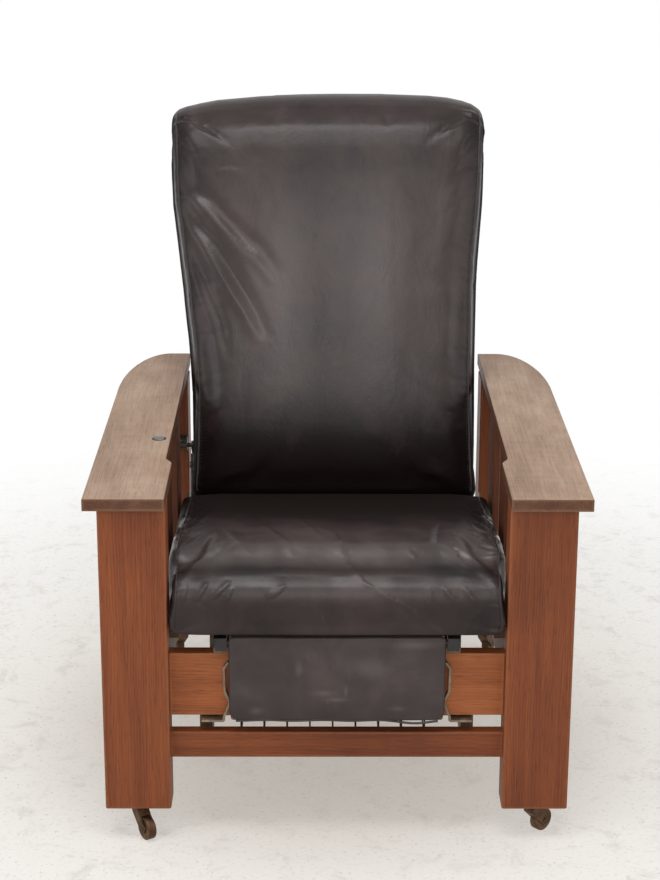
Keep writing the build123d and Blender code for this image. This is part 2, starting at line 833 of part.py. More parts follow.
spacer_y, spacer_z = about_pivot(lean, spacer_reach)
with BuildPart() as quadrant_bolt:
    rod(-stile_half, -quadrant_inner_x, spacer_y, spacer_z, crank_pin_radius * 2)
    rod(-quadrant_inner_x, -quadrant_outer_x, spacer_y, spacer_z, crank_pin_radius)
    rod(-quadrant_outer_x, -quadrant_outer_x - ear_thick, spacer_y, spacer_z, crank_pin_radius * 2)
save(quadrant_bolt, "quadrant_bolt")

# Leg rest: a padded board hung from two slide bars that run out in channels
hinge_y = front_y + rest_hinge_from_front
bar_plane = Plane(origin=(0, hinge_y, rest_hinge_z), x_dir=(1, 0, 0), z_dir=seat_normal)
bar_start = bar_front - rest_hinge_from_front
bar_middle = bar_start + bar_length / 2
board_half = rest_half - rest_board_inset
bar_middle_x = bar_inner_x + bar_width / 2
with BuildPart() as bars:
    with BuildSketch(bar_plane.offset(-bar_height / 2)):
        with Locations((-bar_middle_x, bar_middle), (bar_middle_x, bar_middle)):
            Rectangle(bar_width, bar_length)
    extrude(amount=bar_height)
    for name, side in sides():
        bore_start = side * (bar_inner_x - cut_over)
        bore_end = side * (bar_inner_x + bar_width + cut_over)
        rod(bore_start, bore_end, hinge_y, rest_hinge_z, rest_pin_radius, Mode.SUBTRACT)
save(bars, "slide_bars")
with BuildPart() as leg_rest_pins:
    for name, side in sides():
        pin_start = side * (board_half - rest_pin_depth)
        pin_end = side * (bar_inner_x + bar_width)
        rod(pin_start, pin_end, hinge_y, rest_hinge_z, rest_pin_radius)
save(leg_rest_pins, "leg_rest_pins")

strap_middle = bar_start + bar_length - cross_strap_inset - cross_strap_width / 2
with BuildPart() as cross_strap:
    with BuildSketch(bar_plane.offset(bar_height / 2)):
        with Locations((0, strap_middle)):
            Rectangle(2 * (bar_inner_x + bar_width), cross_strap_width)
    extrude(amount=cross_strap_thick)
save(cross_strap, "slide_cross_strap")

with BuildPart() as rest_board:
    board_front = front_y + rest_board_front
    board_rear = board_front + rest_board_thick
    slab((-board_half, board_half), (board_front, board_rear), (rest_bottom_z, rest_top_z))
    fillet(rest_board.edges().filter_by(Axis.Y).group_by(Axis.Z)[0], rest_edge_inset)
    for name, side in sides():
        bore_start = side * (board_half - rest_pin_depth)
        bore_end = side * (board_half + cut_over)
        rod(bore_start, bore_end, hinge_y, rest_hinge_z, rest_pin_radius + run_gap, Mode.SUBTRACT)
save(rest_board, "leg_rest_board")


def pad_section(x, rise_share, width_share):
    """One closed outline of the leg rest's pad, square across it at x."""
    middle_z = (rest_bottom_z + rest_top_z) / 2
    half = (rest_top_z - rest_bottom_z) / 2 * width_share
    rear = board_front - seat_gap
    front = rear - (rest_board_front - rest_pad_front) * rise_share
    with BuildSketch(side_plane(x)) as section:
        with BuildLine():
            high = middle_z + half
            low = middle_z - half
            Polyline((front, high), (rear, high), (rear, low), (front, low))
            ThreePointArc((front, low), (front - rest_pad_crown * rise_share, middle_z), (front, high))
        make_face()
    return section


pad_shares = (
    (-1.0, 0.5, 0.96),
    (-0.985, 0.85, 0.985),
    (-0.94, 1.0, 1.0),
    (0.94, 1.0, 1.0),
    (0.985, 0.85, 0.985),
    (1.0, 0.5, 0.96),
)
with BuildPart() as rest_pad:
    for width_share, rise_share, end_share in pad_shares:
        add(pad_section(width_share * rest_half, rise_share, end_share).sketch)
    loft(ruled=True)
save(rest_pad, "leg_rest_pad")

# Channels that the bars run in, and what they sit on
channel_under = bar_height / 2 + runner_gap + runner_wall


def channel_bottom(y):
    """The height of the channels' undersides at a place."""
    return rest_hinge_z - channel_under / math.cos(tilt) - (y - hinge_y) * math.tan(tilt)


channel_inner = bar_inner_x - runner_gap - runner_wall
channel_outer = bar_inner_x + bar_width + runner_gap + runner_wall
channel_x = (channel_inner + channel_outer) / 2
channel_width = channel_outer - channel_inner
channel_middle = runner_start - rest_hinge_from_front + runner_length / 2
with BuildPart() as channels:
    with BuildSketch(bar_plane.offset(-channel_under)):
        with Locations((-channel_x, channel_middle), (channel_x, channel_middle)):
            Rectangle(channel_width, runner_length)
    extrude(amount=runner_height)
    with BuildSketch(bar_plane.offset(-channel_under + runner_wall)):
        with Locations((-channel_x, channel_middle), (channel_x, channel_middle)):
            Rectangle(channel_width - 2 * runner_wall, runner_length + 2 * cut_over)
    extrude(amount=runner_height, mode=Mode.SUBTRACT)
save(channels, "slide_channels")


def sloped_block(x_low, x_high, y_span, z_low):
    """A cross piece whose top follows the channels' undersides, in the running part."""
    y_low, y_high = y_span
    with BuildSketch(side_plane(x_low)) as outline:
        with BuildLine():
            top_low = (y_low, channel_bottom(y_low))
            top_high = (y_high, channel_bottom(y_high))
            Polyline((y_low, z_low), (y_high, z_low), top_high, top_low, close=True)
        make_face()
    extrude(outline.sketch, amount=x_high - x_low)


rail_front_y = front_y + front_rail_back
cross_rail_y = front_y + cross_rail_from_front
rail_span = (rail_front_y, rail_front_y + front_rail_thick)
cross_rail_span = (cross_rail_y, cross_rail_y + cross_rail_thick)
with BuildPart() as channel_blocks:
    sloped_block(-channel_outer, -channel_inner, rail_span, rail_top_z)
    sloped_block(channel_inner, channel_outer, rail_span, rail_top_z)
save(channel_blocks, "channel_blocks")
with BuildPart() as cross_rail:
    sloped_block(-side_rail_inner_x, side_rail_inner_x, cross_rail_span, cross_rail_bottom_z)
save(cross_rail, "channel_cross_rail")

# Basket: two boards with bent wires between them
basket_y = front_y + basket_start
basket_end_y = basket_y + basket_length
basket_top_z = basket_end_bottom_z + basket_end_height
rim_places = (
    (basket_y + basket_inset, basket_top_z - basket_inset),
    (basket_y + basket_inset, basket_end_bottom_z + basket_inset),
    (basket_end_y - basket_inset, basket_end_bottom_z + basket_inset),
    (basket_end_y - basket_inset, basket_top_z - basket_inset),
)
with BuildPart() as basket_ends:
    for name, side in sides():
        x_span = (side * basket_end_inner_x, side * (basket_end_inner_x + basket_end_thick))
        slab(x_span, (basket_y, basket_end_y), (basket_end_bottom_z, basket_top_z))
    fillet(basket_ends.edges().filter_by(Axis.Y), board_ease)
    for name, side in sides():
        for y, z in rim_places:
            bore_start = side * (basket_end_inner_x - cut_over)
            rod(bore_start, side * (basket_end_inner_x + basket_inset), y, z, basket_rim, Mode.SUBTRACT)
save(basket_ends, "basket_ends")

rim_reach = basket_end_inner_x + basket_inset
with BuildPart() as basket_mesh:
    for y, z in rim_places:
        rod(-rim_reach, rim_reach, y, z, basket_rim)
    for step in range(basket_wires):
        wire_x = (step - (basket_wires - 1) / 2) * basket_pitch + basket_shift
        with BuildLine() as wire_path:
            FilletPolyline(*[(wire_x, y, z) for y, z in rim_places], radius=basket_inset)
        with BuildSketch(Plane(origin=wire_path.line @ 0, z_dir=wire_path.line % 0)):
            Circle(basket_wire)
        sweep(path=wire_path.line)
save(basket_mesh, "basket_wires")

# Basket hangers: a bowed strap at the front, and a plain one at the rear
strap_x = bar_inner_x - strap_thick / 2
bow_out_shares = (0, 0.9, 0.8, -0.2, 1.0, 1.0)
bow_down_shares = (0.12, 0.21, 0.58, 0.76, 1.0, 1.06)
with BuildPart() as front_hangers:
    for name, side in sides():
        with BuildSketch(Plane(origin=(0, rail_front_y, 0), x_dir=(1, 0, 0), z_dir=(0, -1, 0))):
            with BuildLine() as bow:
                bow_points = [
                    (side * (strap_x + out * strap_bow), rail_top_z - down * rail_height)
                    for out, down in zip(bow_out_shares, bow_down_shares)
                ]
                FilletPolyline(*bow_points, radius=strap_bow)
            trace(line_width=strap_thick)
        extrude(amount=strap_width)
        foot_x = (side * (strap_x + strap_bow), side * (basket_end_inner_x + basket_end_thick * 3 / 4))
        foot_y = (rail_front_y - strap_width, basket_y + basket_end_thick)
        slab(foot_x, foot_y, (basket_top_z, basket_top_z + strap_thick))
save(front_hangers, "basket_front_hangers")
with BuildPart() as rear_hangers:
    for name, side in sides():
        hanger_start = basket_end_inner_x + basket_end_thick * hanger_start_share
        hanger_end = basket_end_inner_x + basket_end_thick * hanger_end_share
        x_span = (side * hanger_start, side * hanger_end)
        z_span = (basket_end_bottom_z + basket_inset, cross_rail_bottom_z + hanger_lap)
        slab(x_span, (basket_end_y, cross_rail_y), z_span)
save(rear_hangers, "basket_rear_hangers")

# Casters: socket, horn with its stem, wheel and axle, each turned as it was left standing
caster_places = {
    "front_left": (-leg_centre_x, leg_centre_y),
    "front_right": (leg_centre_x, leg_centre_y),
    "rear_left": (-post_centre_x, post_centre_y),
    "rear_right": (post_centre_x, post_centre_y),
}
fork_inner = caster_wheel_width / 2 + caster_side_gap
fork_outer = fork_inner + caster_cheek
with BuildPart() as sockets:
    with BuildSketch(Plane.XY.offset(leg_bottom_z - caster_flange_thick)):
        with Locations(*caster_places.values()):
            Circle(caster_flange_radius)
    extrude(amount=caster_flange_thick)
    with BuildSketch(Plane.XY.offset(leg_bottom_z)):
        with Locations(*caster_places.values()):
            Circle(socket_radius)
    extrude(amount=socket_depth)
    with BuildSketch(Plane.XY.offset(leg_bottom_z - caster_flange_thick)):
        with Locations(*caster_places.values()):
            Circle(caster_stem_radius + run_gap)
    extrude(amount=caster_stem_top + caster_flange_thick, mode=Mode.SUBTRACT)
save(sockets, "caster_sockets")

for name, (caster_x, caster_y) in caster_places.items():
    turn = math.radians(caster_angles[name])
    trail_dir = (math.cos(turn), math.sin(turn), 0)
    axle_dir = (math.sin(turn), -math.cos(turn), 0)
    fork_plane = Plane(origin=(caster_x, caster_y, 0), x_dir=trail_dir, z_dir=axle_dir)
    with BuildPart() as horn:
        with BuildSketch(fork_plane):
            with Locations((0, caster_crown_z)):
                Circle(caster_crown_radius)
            with Locations((caster_trail, caster_wheel_radius)):
                Circle(caster_boss_radius)
            make_hull()
        extrude(amount=fork_outer, both=True)
        with BuildSketch(fork_plane):
            with Locations((caster_trail, caster_wheel_radius)):
                Circle(caster_wheel_radius + cut_over)
        extrude(amount=fork_inner, both=True, mode=Mode.SUBTRACT)
        with BuildSketch(Plane.XY.offset(caster_crown_z)):
            with Locations((caster_x, caster_y)):
                Circle(caster_stem_radius)
        extrude(amount=leg_bottom_z + caster_stem_top - caster_crown_z - caster_flange_thick - seat_gap)
        with BuildSketch(fork_plane):
            with Locations((caster_trail, caster_wheel_radius)):
                Circle(caster_axle_radius)
        extrude(amount=fork_outer + cut_over, both=True, mode=Mode.SUBTRACT)
    with BuildPart() as wheel:
        with BuildSketch(fork_plane):
            with Locations((caster_trail, caster_wheel_radius)):
                Circle(caster_wheel_radius)
        extrude(amount=caster_wheel_width / 2, both=True)
        fillet(wheel.edges(), board_ease)
        with BuildSketch(fork_plane):
            with Locations((caster_trail, caster_wheel_radius)):
                Circle(caster_axle_radius + run_gap)
        extrude(amount=caster_wheel_width, both=True, mode=Mode.SUBTRACT)
    save(wheel, f"caster_wheel_{name}")
    with BuildPart() as axle:
        with BuildSketch(fork_plane):
            with Locations((caster_trail, caster_wheel_radius)):
                Circle(caster_axle_radius)
        extrude(amount=fork_outer + caster_side_gap, both=True)
        for way in (-1, 1):
            with BuildSketch(fork_plane.offset(way * fork_outer)):
                with Locations((caster_trail, caster_wheel_radius)):
                    Circle(caster_axle_radius + board_ease)
            extrude(amount=way * cut_over)
    horn_group = Compound(children=[horn.part, axle.part])
    horn_group.label = f"caster_horn_{name}"
    export_step(horn_group, f"parts/caster_horn_{name}.step")
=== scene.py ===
import math

import bmesh
import bpy
import numpy as np
from mathutils import Matrix, Vector
from mathutils.bvhtree import BVHTree


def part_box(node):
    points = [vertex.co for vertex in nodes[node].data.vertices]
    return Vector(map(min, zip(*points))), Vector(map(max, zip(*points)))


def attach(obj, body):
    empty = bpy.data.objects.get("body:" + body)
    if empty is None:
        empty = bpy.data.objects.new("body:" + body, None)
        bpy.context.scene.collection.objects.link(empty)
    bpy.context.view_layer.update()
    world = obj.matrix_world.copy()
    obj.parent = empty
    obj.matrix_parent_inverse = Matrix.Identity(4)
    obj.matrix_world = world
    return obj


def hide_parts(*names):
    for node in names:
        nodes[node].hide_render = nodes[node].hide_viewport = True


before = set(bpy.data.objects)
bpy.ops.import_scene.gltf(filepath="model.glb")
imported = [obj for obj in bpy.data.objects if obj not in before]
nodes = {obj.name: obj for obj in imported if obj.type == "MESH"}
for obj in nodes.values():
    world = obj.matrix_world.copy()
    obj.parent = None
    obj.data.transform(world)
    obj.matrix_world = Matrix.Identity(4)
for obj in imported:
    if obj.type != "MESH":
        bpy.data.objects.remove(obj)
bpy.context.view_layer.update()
scene = bpy.context.scene

# Places that the looks share with the frame, in metres
FRONT_Y = -0.43525
SEAT_TILT = math.radians(5)
SEAT_ORIGIN = np.array((0, FRONT_Y, 0.360))
BACK_LEAN = math.radians(18)
BACK_ORIGIN = np.array((0, FRONT_Y + 0.655, 0.345))
FIRST_FRAME = 1
LAST_FRAME = 20

# Directions along the seat (to the rear, up) and along the back (up, to the front)
SEAT_BACKWARD = np.array((0, math.cos(SEAT_TILT), -math.sin(SEAT_TILT)))
SEAT_UP = np.array((0, math.sin(SEAT_TILT), math.cos(SEAT_TILT)))
BACK_UP = np.array((0, math.sin(BACK_LEAN), math.cos(BACK_LEAN)))
BACK_FORWARD = np.array((0, -math.cos(BACK_LEAN), math.sin(BACK_LEAN)))
ACROSS = np.array((1.0, 0, 0))


# Small helpers for colours, shader nodes and meshes
def rgb(red, green, blue):
    """A screen colour of 0 to 255, as the linear colour that a shader takes."""
    def linear(c):
        c = c / 255
        return c / 12.92 if c <= 0.04045 else ((c + 0.055) / 1.055) ** 2.4
    return (linear(red), linear(green), linear(blue), 1)


class Finish:
    """A material and short ways to add and join its nodes."""

    def __init__(self, name):
        self.material = bpy.data.materials.new(name)
        self.material.use_nodes = True
        self.tree = self.material.node_tree
        self.shader = self.tree.nodes["Principled BSDF"]

    def add(self, kind, inputs=(), **settings):
        node = self.tree.nodes.new(kind)
        for key, value in settings.items():
            setattr(node, key, value)
        for socket, value in dict(inputs).items():
            self.feed(node.inputs[socket], value)
        return node

    def feed(self, socket, value):
        if isinstance(value, bpy.types.NodeSocket):
            self.tree.links.new(value, socket)
        else:
            socket.default_value = value

    def place(self, scale=(1, 1, 1), turn=(0, 0, 0), shift=(0, 0, 0)):
        """Object coordinates, turned, scaled and shifted."""
        coordinates = self.add("ShaderNodeTexCoord").outputs["Object"]
        inputs = {"Vector": coordinates, "Location": shift, "Rotation": turn, "Scale": scale}
        return self.add("ShaderNodeMapping", inputs).outputs["Vector"]

    def noise(self, vector, scale, detail=4.0, rough=0.55, distortion=0.0):
        inputs = {"Vector": vector, "Scale": scale, "Detail": detail, "Roughness": rough}
        inputs["Distortion"] = distortion
        return self.add("ShaderNodeTexNoise", inputs).outputs["Fac"]

    def stretched(self, vector, scale):
        """A coordinate scaled unevenly, for streaks."""
        return self.add("ShaderNodeMapping", {"Vector": vector, "Scale": scale}).outputs["Vector"]

    def math(self, operation, first, second=0.0):
        return self.add("ShaderNodeMath", {0: first, 1: second}, operation=operation).outputs[0]

    def weighted(self, *parts):
        """The sum of values, each times its weight."""
        total, *others = (self.math("MULTIPLY", value, weight) for value, weight in parts)
        for part in others:
            total = self.math("ADD", total, part)
        return total

    def ramp(self, factor, low, high, to_low=0.0, to_high=1.0):
        """A smooth step of a value between two limits."""
        inputs = {"Value": factor, "From Min": low, "From Max": high, "To Min": to_low, "To Max": to_high}
        return self.add("ShaderNodeMapRange", inputs, interpolation_type="SMOOTHSTEP").outputs["Result"]

    def mix(self, factor, first, second):
        node = self.add("ShaderNodeMix", {"Factor": factor}, data_type="RGBA")
        colours = [socket for socket in node.inputs if socket.type == "RGBA"]
        for socket, value in zip(colours, (first, second)):
            self.feed(socket, value)
        return next(s for s in node.outputs if s.type == "RGBA")

    def over(self, colour, other, where, share):
        """A colour with another laid over it in places, at a share of its full strength."""
        return self.mix(self.math("MULTIPLY", where, share), colour, other)

    def colours(self, factor, stops):
        """A colour band: pairs of a place and a colour."""
        node = self.add("ShaderNodeValToRGB", {"Fac": factor})
        band = node.color_ramp.elements
        while len(band) < len(stops):
            band.new(0.5)
        for element, (place, colour) in zip(band, stops):
            element.position = place
            element.color = colour
        return node.outputs["Color"]

    def bump(self, height, distance, strength=1.0, normal=None):
        inputs = {"Height": height, "Distance": distance, "Strength": strength}
        if normal is not None:
            inputs["Normal"] = normal
        return self.add("ShaderNodeBump", inputs).outputs["Normal"]

    def finish(self, **sockets):
        for name, value in sockets.items():
            self.feed(self.shader.inputs[name.replace("_", " ")], value)
        return self.material


def wear(node_names, material):
    """Gives CAD nodes a finish."""
    for name in node_names.split():
        slots = nodes[name].material_slots
        if len(slots) == 0:
            nodes[name].data.materials.append(material)
        for slot in slots:
            slot.material = material


# Oak: fine streaks along the grain, a faint flame of growth rings, open pores and worn arrises
GRAIN_TURNS = {"x": (0, math.pi / 2, 0), "y": (math.pi / 2, 0, 0), "z": (0, 0, 0)}


def growth_rings(finish, turn, shift):
    """Rings of a tree whose heart leans a little, so that boards show long flames."""
    leaning = finish.place(turn=(turn[0] + 0.020, turn[1] - 0.016, turn[2]), shift=shift)
    wobble = finish.noise(finish.stretched(leaning, (5, 5, 1.1)), 1.6, 3.0)
    sway = finish.math("MULTIPLY", finish.math("SUBTRACT", wobble, 0.5), 0.045)
    sideways = finish.add("ShaderNodeCombineXYZ", {"X": sway, "Y": sway}).outputs[0]
    bent = finish.add("ShaderNodeVectorMath", {0: leaning, 1: sideways}, operation="ADD").outputs[0]
    inputs = {"Vector": bent, "Scale": 64.0, "Distortion": 2.6, "Detail": 3.0, "Detail Scale": 0.4}
    looks = {"wave_type": "RINGS", "rings_direction": "Z", "wave_profile": "SIN"}
    return finish.add("ShaderNodeTexWave", inputs, **looks).outputs["Fac"]


def arris_wear(finish, node_name, coordinates):
    """How worn the wood is, from 0 on the faces to 1 where two faces of the board meet."""
    low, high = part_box(node_name)
    inputs = {0: coordinates, 1: tuple((low + high) / 2)}
    apart = finish.add("ShaderNodeVectorMath", inputs, operation="SUBTRACT").outputs[0]
    apart = finish.add("ShaderNodeVectorMath", {0: apart}, operation="ABSOLUTE").outputs[0]
    inputs = {0: tuple((high - low) / 2), 1: apart}
    depth = finish.add("ShaderNodeVectorMath", inputs, operation="SUBTRACT").outputs[0]
    split = finish.add("ShaderNodeSeparateXYZ", {"Vector": depth}).outputs
    nearest = finish.math("MINIMUM", split["X"], split["Y"])
    farther = finish.math("MAXIMUM", split["X"], split["Y"])
    arris = finish.math("MAXIMUM", nearest, finish.math("MINIMUM", farther, split["Z"]))
    ragged = finish.math("MULTIPLY", finish.noise(coordinates, 45.0, 5.0, 0.7), 0.008)
    return finish.ramp(finish.math("SUBTRACT", arris, ragged), -0.0035, 0.0015, 1.0, 0.0)


def worn_top_colour(finish, place, coordinates, fibre):
    """Varnish rubbed away to grey-brown wood, rippled across the grain."""
    ripple = finish.noise(finish.stretched(place, (26, 26, 150)), 1.0, 3.0, 0.6)
    patches = finish.noise(finish.stretched(place, (14, 14, 5)), 1.0, 4.0, 0.6)
    tone = finish.weighted((ripple, 0.13), (patches, 0.51), (fibre, 0.36))
    greys = ((0.32, rgb(126, 102, 85)), (0.50, rgb(154, 129, 110)), (0.68, rgb(178, 154, 134)))
    warm = finish.ramp(finish.noise(coordinates, 6.5, 3.0), 0.50, 0.72)
    bare = finish.over(finish.colours(tone, greys), rgb(134, 98, 74), warm, 0.30)
    dents = finish.ramp(finish.noise(coordinates, 160.0, 3.0, 0.6), 0.70, 0.76)
    return finish.over(bare, rgb(74, 54, 42), dents, 0.5)


def oak(name, node_name, grain, shades, seed, worn_top=False, flame=0.16):
    """Red-brown oak on one board, with its grain along an axis."""
    finish = Finish(name)
    turn = GRAIN_TURNS[grain]
    shift = (seed * 0.37, seed * 0.21, seed * 0.53)
    place = finish.place(turn=turn, shift=shift)
    coordinates = finish.place()
    rings = growth_rings(finish, turn, shift)
    streaks = finish.noise(finish.stretched(place, (60, 60, 1.4)), 1.0, 4.0, 0.6)
    fibre = finish.noise(finish.stretched(place, (420, 420, 9)), 1.0, 3.0, 0.6)
    cloud = finish.noise(finish.stretched(place, (8, 8, 3)), 1.0, 3.0)
    pores = finish.noise(finish.stretched(place, (1000, 1000, 34)), 1.0, 1.0, 0.4)
    open_pores = finish.ramp(pores, 0.62, 0.72)
    tone = finish.weighted((rings, flame), (streaks, 0.34), (fibre, 0.30), (cloud, 0.36 - flame))
    colour = finish.colours(tone, ((0.30, shades[0]), (0.49, shades[1]), (0.70, shades[2])))
    amber = finish.ramp(finish.noise(finish.stretched(place, (24, 24, 2.4)), 1.0, 4.0, 0.6), 0.46, 0.70)
    colour = finish.over(colour, shades[2], amber, 0.40)
    grime = finish.ramp(finish.noise(coordinates, 6.0, 4.0), 0.40, 0.75)
    colour = finish.over(colour, shades[0], grime, 0.35)
    worn = arris_wear(finish, node_name, coordinates)
    colour = finish.over(colour, shades[3], worn, 0.40)
    rough = finish.math("ADD", finish.math("MULTIPLY", cloud, 0.22), 0.40)
    if worn_top:
        normal = finish.add("ShaderNodeTexCoord").outputs["Normal"]
        up = finish.add("ShaderNodeSeparateXYZ", {"Vector": normal}).outputs["Z"]
        on_top = finish.ramp(up, 0.35, 0.85)
        colour = finish.mix(on_top, colour, worn_top_colour(finish, place, coordinates, fibre))
        rough = finish.math("ADD", rough, finish.math("MULTIPLY", on_top, 0.10))
    colour = finish.over(colour, rgb(52, 28, 18), open_pores, 0.45)
    height = finish.math("SUBTRACT", finish.math("MULTIPLY", fibre, 0.25), open_pores)
    normal = finish.bump(height, 0.00025, 0.5)
    return finish.finish(Base_Color=colour, Roughness=rough, Normal=normal, Specular_IOR_Level=0.28)


RED_OAK = (rgb(82, 38, 17), rgb(117, 59, 29), rgb(146, 80, 41), rgb(146, 92, 58))
RAIL_OAK = (rgb(114, 60, 30), rgb(158, 88, 46), rgb(182, 110, 64), rgb(174, 116, 76))
SLAT_OAK = (rgb(58, 29, 16), rgb(84, 44, 26), rgb(112, 64, 38), rgb(128, 82, 54))
ARM_OAK = (rgb(58, 34, 22), rgb(88, 54, 36), rgb(112, 76, 52), rgb(132, 100, 76))
DARK_OAK = (rgb(42, 22, 14), rgb(72, 39, 24), rgb(98, 57, 36), rgb(116, 74, 50))
PLAIN_OAK = (rgb(70, 50, 36), rgb(106, 80, 58), rgb(132, 104, 80), rgb(142, 116, 92))
GREY_OAK = (rgb(80, 66, 52), rgb(118, 100, 82), rgb(146, 128, 108), rgb(152, 136, 116))

for seed, (node_name, grain, shades, worn_top, flame) in enumerate((
    ("arm_left", "y", ARM_OAK, True, 0.06),
    ("arm_right", "y", ARM_OAK, True, 0.06),
    ("front_leg_left", "z", RED_OAK, False, 0.06),
    ("front_leg_right", "z", RED_OAK, False, 0.06),
    ("rear_post_left", "z", RED_OAK, False, 0.07),
    ("rear_post_right", "z", RED_OAK, False, 0.07),
    ("front_rail", "x", RAIL_OAK, False, 0.05),
    ("front_stretcher", "x", RED_OAK, False, 0.05),
    ("rear_rail", "x", RED_OAK, False, 0.07),
    ("side_rail_left", "y", RED_OAK, False, 0.08),
    ("side_rail_right", "y", RED_OAK, False, 0.08),
    ("side_slats", "z", SLAT_OAK, False, 0.06),
    ("back_stile_left", "z", DARK_OAK, False, 0.07),
    ("back_stile_right", "z", DARK_OAK, False, 0.07),
    ("back_bottom_rail", "x", DARK_OAK, False, 0.07),
    ("back_middle_rail", "x", DARK_OAK, False, 0.07),
    ("back_top_rail", "x", DARK_OAK, False, 0.07),
    ("back_panel", "z", DARK_OAK, False, 0.10),
    ("seat_cleats", "y", PLAIN_OAK, False, 0.07),
    ("seat_frame_crosses", "x", PLAIN_OAK, False, 0.07),
    ("seat_frame_sides", "y", PLAIN_OAK, False, 0.07),
    ("channel_blocks", "y", PLAIN_OAK, False, 0.07),
    ("channel_cross_rail", "x", PLAIN_OAK, False, 0.07),
    ("basket_ends", "z", GREY_OAK, False, 0.10),
    ("leg_rest_board", "x", PLAIN_OAK, False, 0.07),
), start=1):
    wear(node_name, oak("oak_" + node_name, node_name, grain, shades, seed, worn_top, flame))


# Metals: scratched, rubbed and spotted with rust
def old_metal(name, colour, worn_colour, roughness, rust=0.2, scratch=(90, 90, 900)):
    """A dull metal with fine scratches, rubbed patches and specks of rust."""
    finish = Finish(name)
    coordinates = finish.place()
    patches = finish.ramp(finish.noise(coordinates, 55.0, 5.0, 0.65), 0.42, 0.62)
    scratches = finish.noise(finish.place(scale=scratch), 1.0, 2.0)
    specks = finish.ramp(finish.noise(coordinates, 240.0, 6.0, 0.7), 0.60, 0.72)
    tone = finish.mix(patches, colour, worn_colour)
    tone = finish.over(tone, rgb(96, 54, 32), specks, rust)
    rough = finish.math("ADD", finish.math("MULTIPLY", patches, 0.16), roughness)
    normal = finish.bump(finish.math("ADD", scratches, finish.math("MULTIPLY", patches, 0.5)), 0.0001, 0.5)
    return finish.finish(Base_Color=tone, Metallic=0.85, Roughness=rough, Normal=normal)


STRAP_STEEL = old_metal("strap_steel", rgb(126, 110, 92), rgb(156, 140, 120), 0.50, 0.45)
BARE_STEEL = old_metal("pivot_steel", rgb(84, 77, 69), rgb(106, 99, 90), 0.42, 0.35)
DARK_STEEL = old_metal("dark_latch_steel", rgb(52, 47, 43), rgb(84, 78, 71), 0.46, 0.4)
WIRE_STEEL = old_metal("basket_wire_steel", rgb(66, 60, 56), rgb(92, 86, 80), 0.45, 0.4)
BUTTON_STEEL = old_metal("button_steel", rgb(74, 78, 84), rgb(112, 117, 124), 0.30, 0.1)
BEZEL_STEEL = old_metal("bezel_steel", rgb(26, 22, 20), rgb(46, 40, 36), 0.5, 0.2)
SCREW_STEEL = old_metal("screw_steel", rgb(96, 88, 80), rgb(136, 128, 118), 0.38, 0.4)
NAIL_BRASS = old_metal("nail_brass", rgb(112, 84, 48), rgb(160, 128, 78), 0.38, 0.3)
CASTER_BRONZE = old_metal("caster_bronze", rgb(78, 56, 40), rgb(116, 88, 64), 0.48, 0.55)
wear("basket_front_hangers basket_rear_hangers", STRAP_STEEL)
wear("ratchet_quadrant latch_pawl latch_shaft latch_bracket link_bar bell_crank crank_hanger", DARK_STEEL)
wear("pivot_pins pivot_plates pivot_spacers quadrant_bolt leg_rest_pins button_spring", BARE_STEEL)
wear("basket_wires", WIRE_STEEL)
wear("push_button", BUTTON_STEEL)
wear("button_bezel", BEZEL_STEEL)
for corner in ("front_left", "front_right", "rear_left", "rear_right"):
    wear(f"caster_horn_{corner} caster_wheel_{corner}", CASTER_BRONZE)
wear("caster_sockets", CASTER_BRONZE)


def black_paint():
    """Black paint on the slide bars and channels, rubbed to steel in streaks."""
    finish = Finish("black_slide_paint")
    streaks = finish.noise(finish.place(scale=(120, 5, 120)), 1.0, 4.0, 0.6)
    rubbed = finish.ramp(streaks, 0.62, 0.74)
    dust = finish.ramp(finish.noise(finish.place(), 30.0, 4.0), 0.4, 0.7)
    tone = finish.over(rgb(24, 21, 20), rgb(60, 54, 49), dust, 0.3)
    tone = finish.mix(rubbed, tone, rgb(104, 98, 92))
    rough = finish.math("SUBTRACT", 0.5, finish.math("MULTIPLY", rubbed, 0.15))
    metal = finish.math("MULTIPLY", rubbed, 0.8)
    normal = finish.bump(streaks, 0.00008, 0.5)
    return finish.finish(Base_Color=tone, Metallic=metal, Roughness=rough, Normal=normal)


wear("slide_bars slide_channels slide_cross_strap", black_paint())


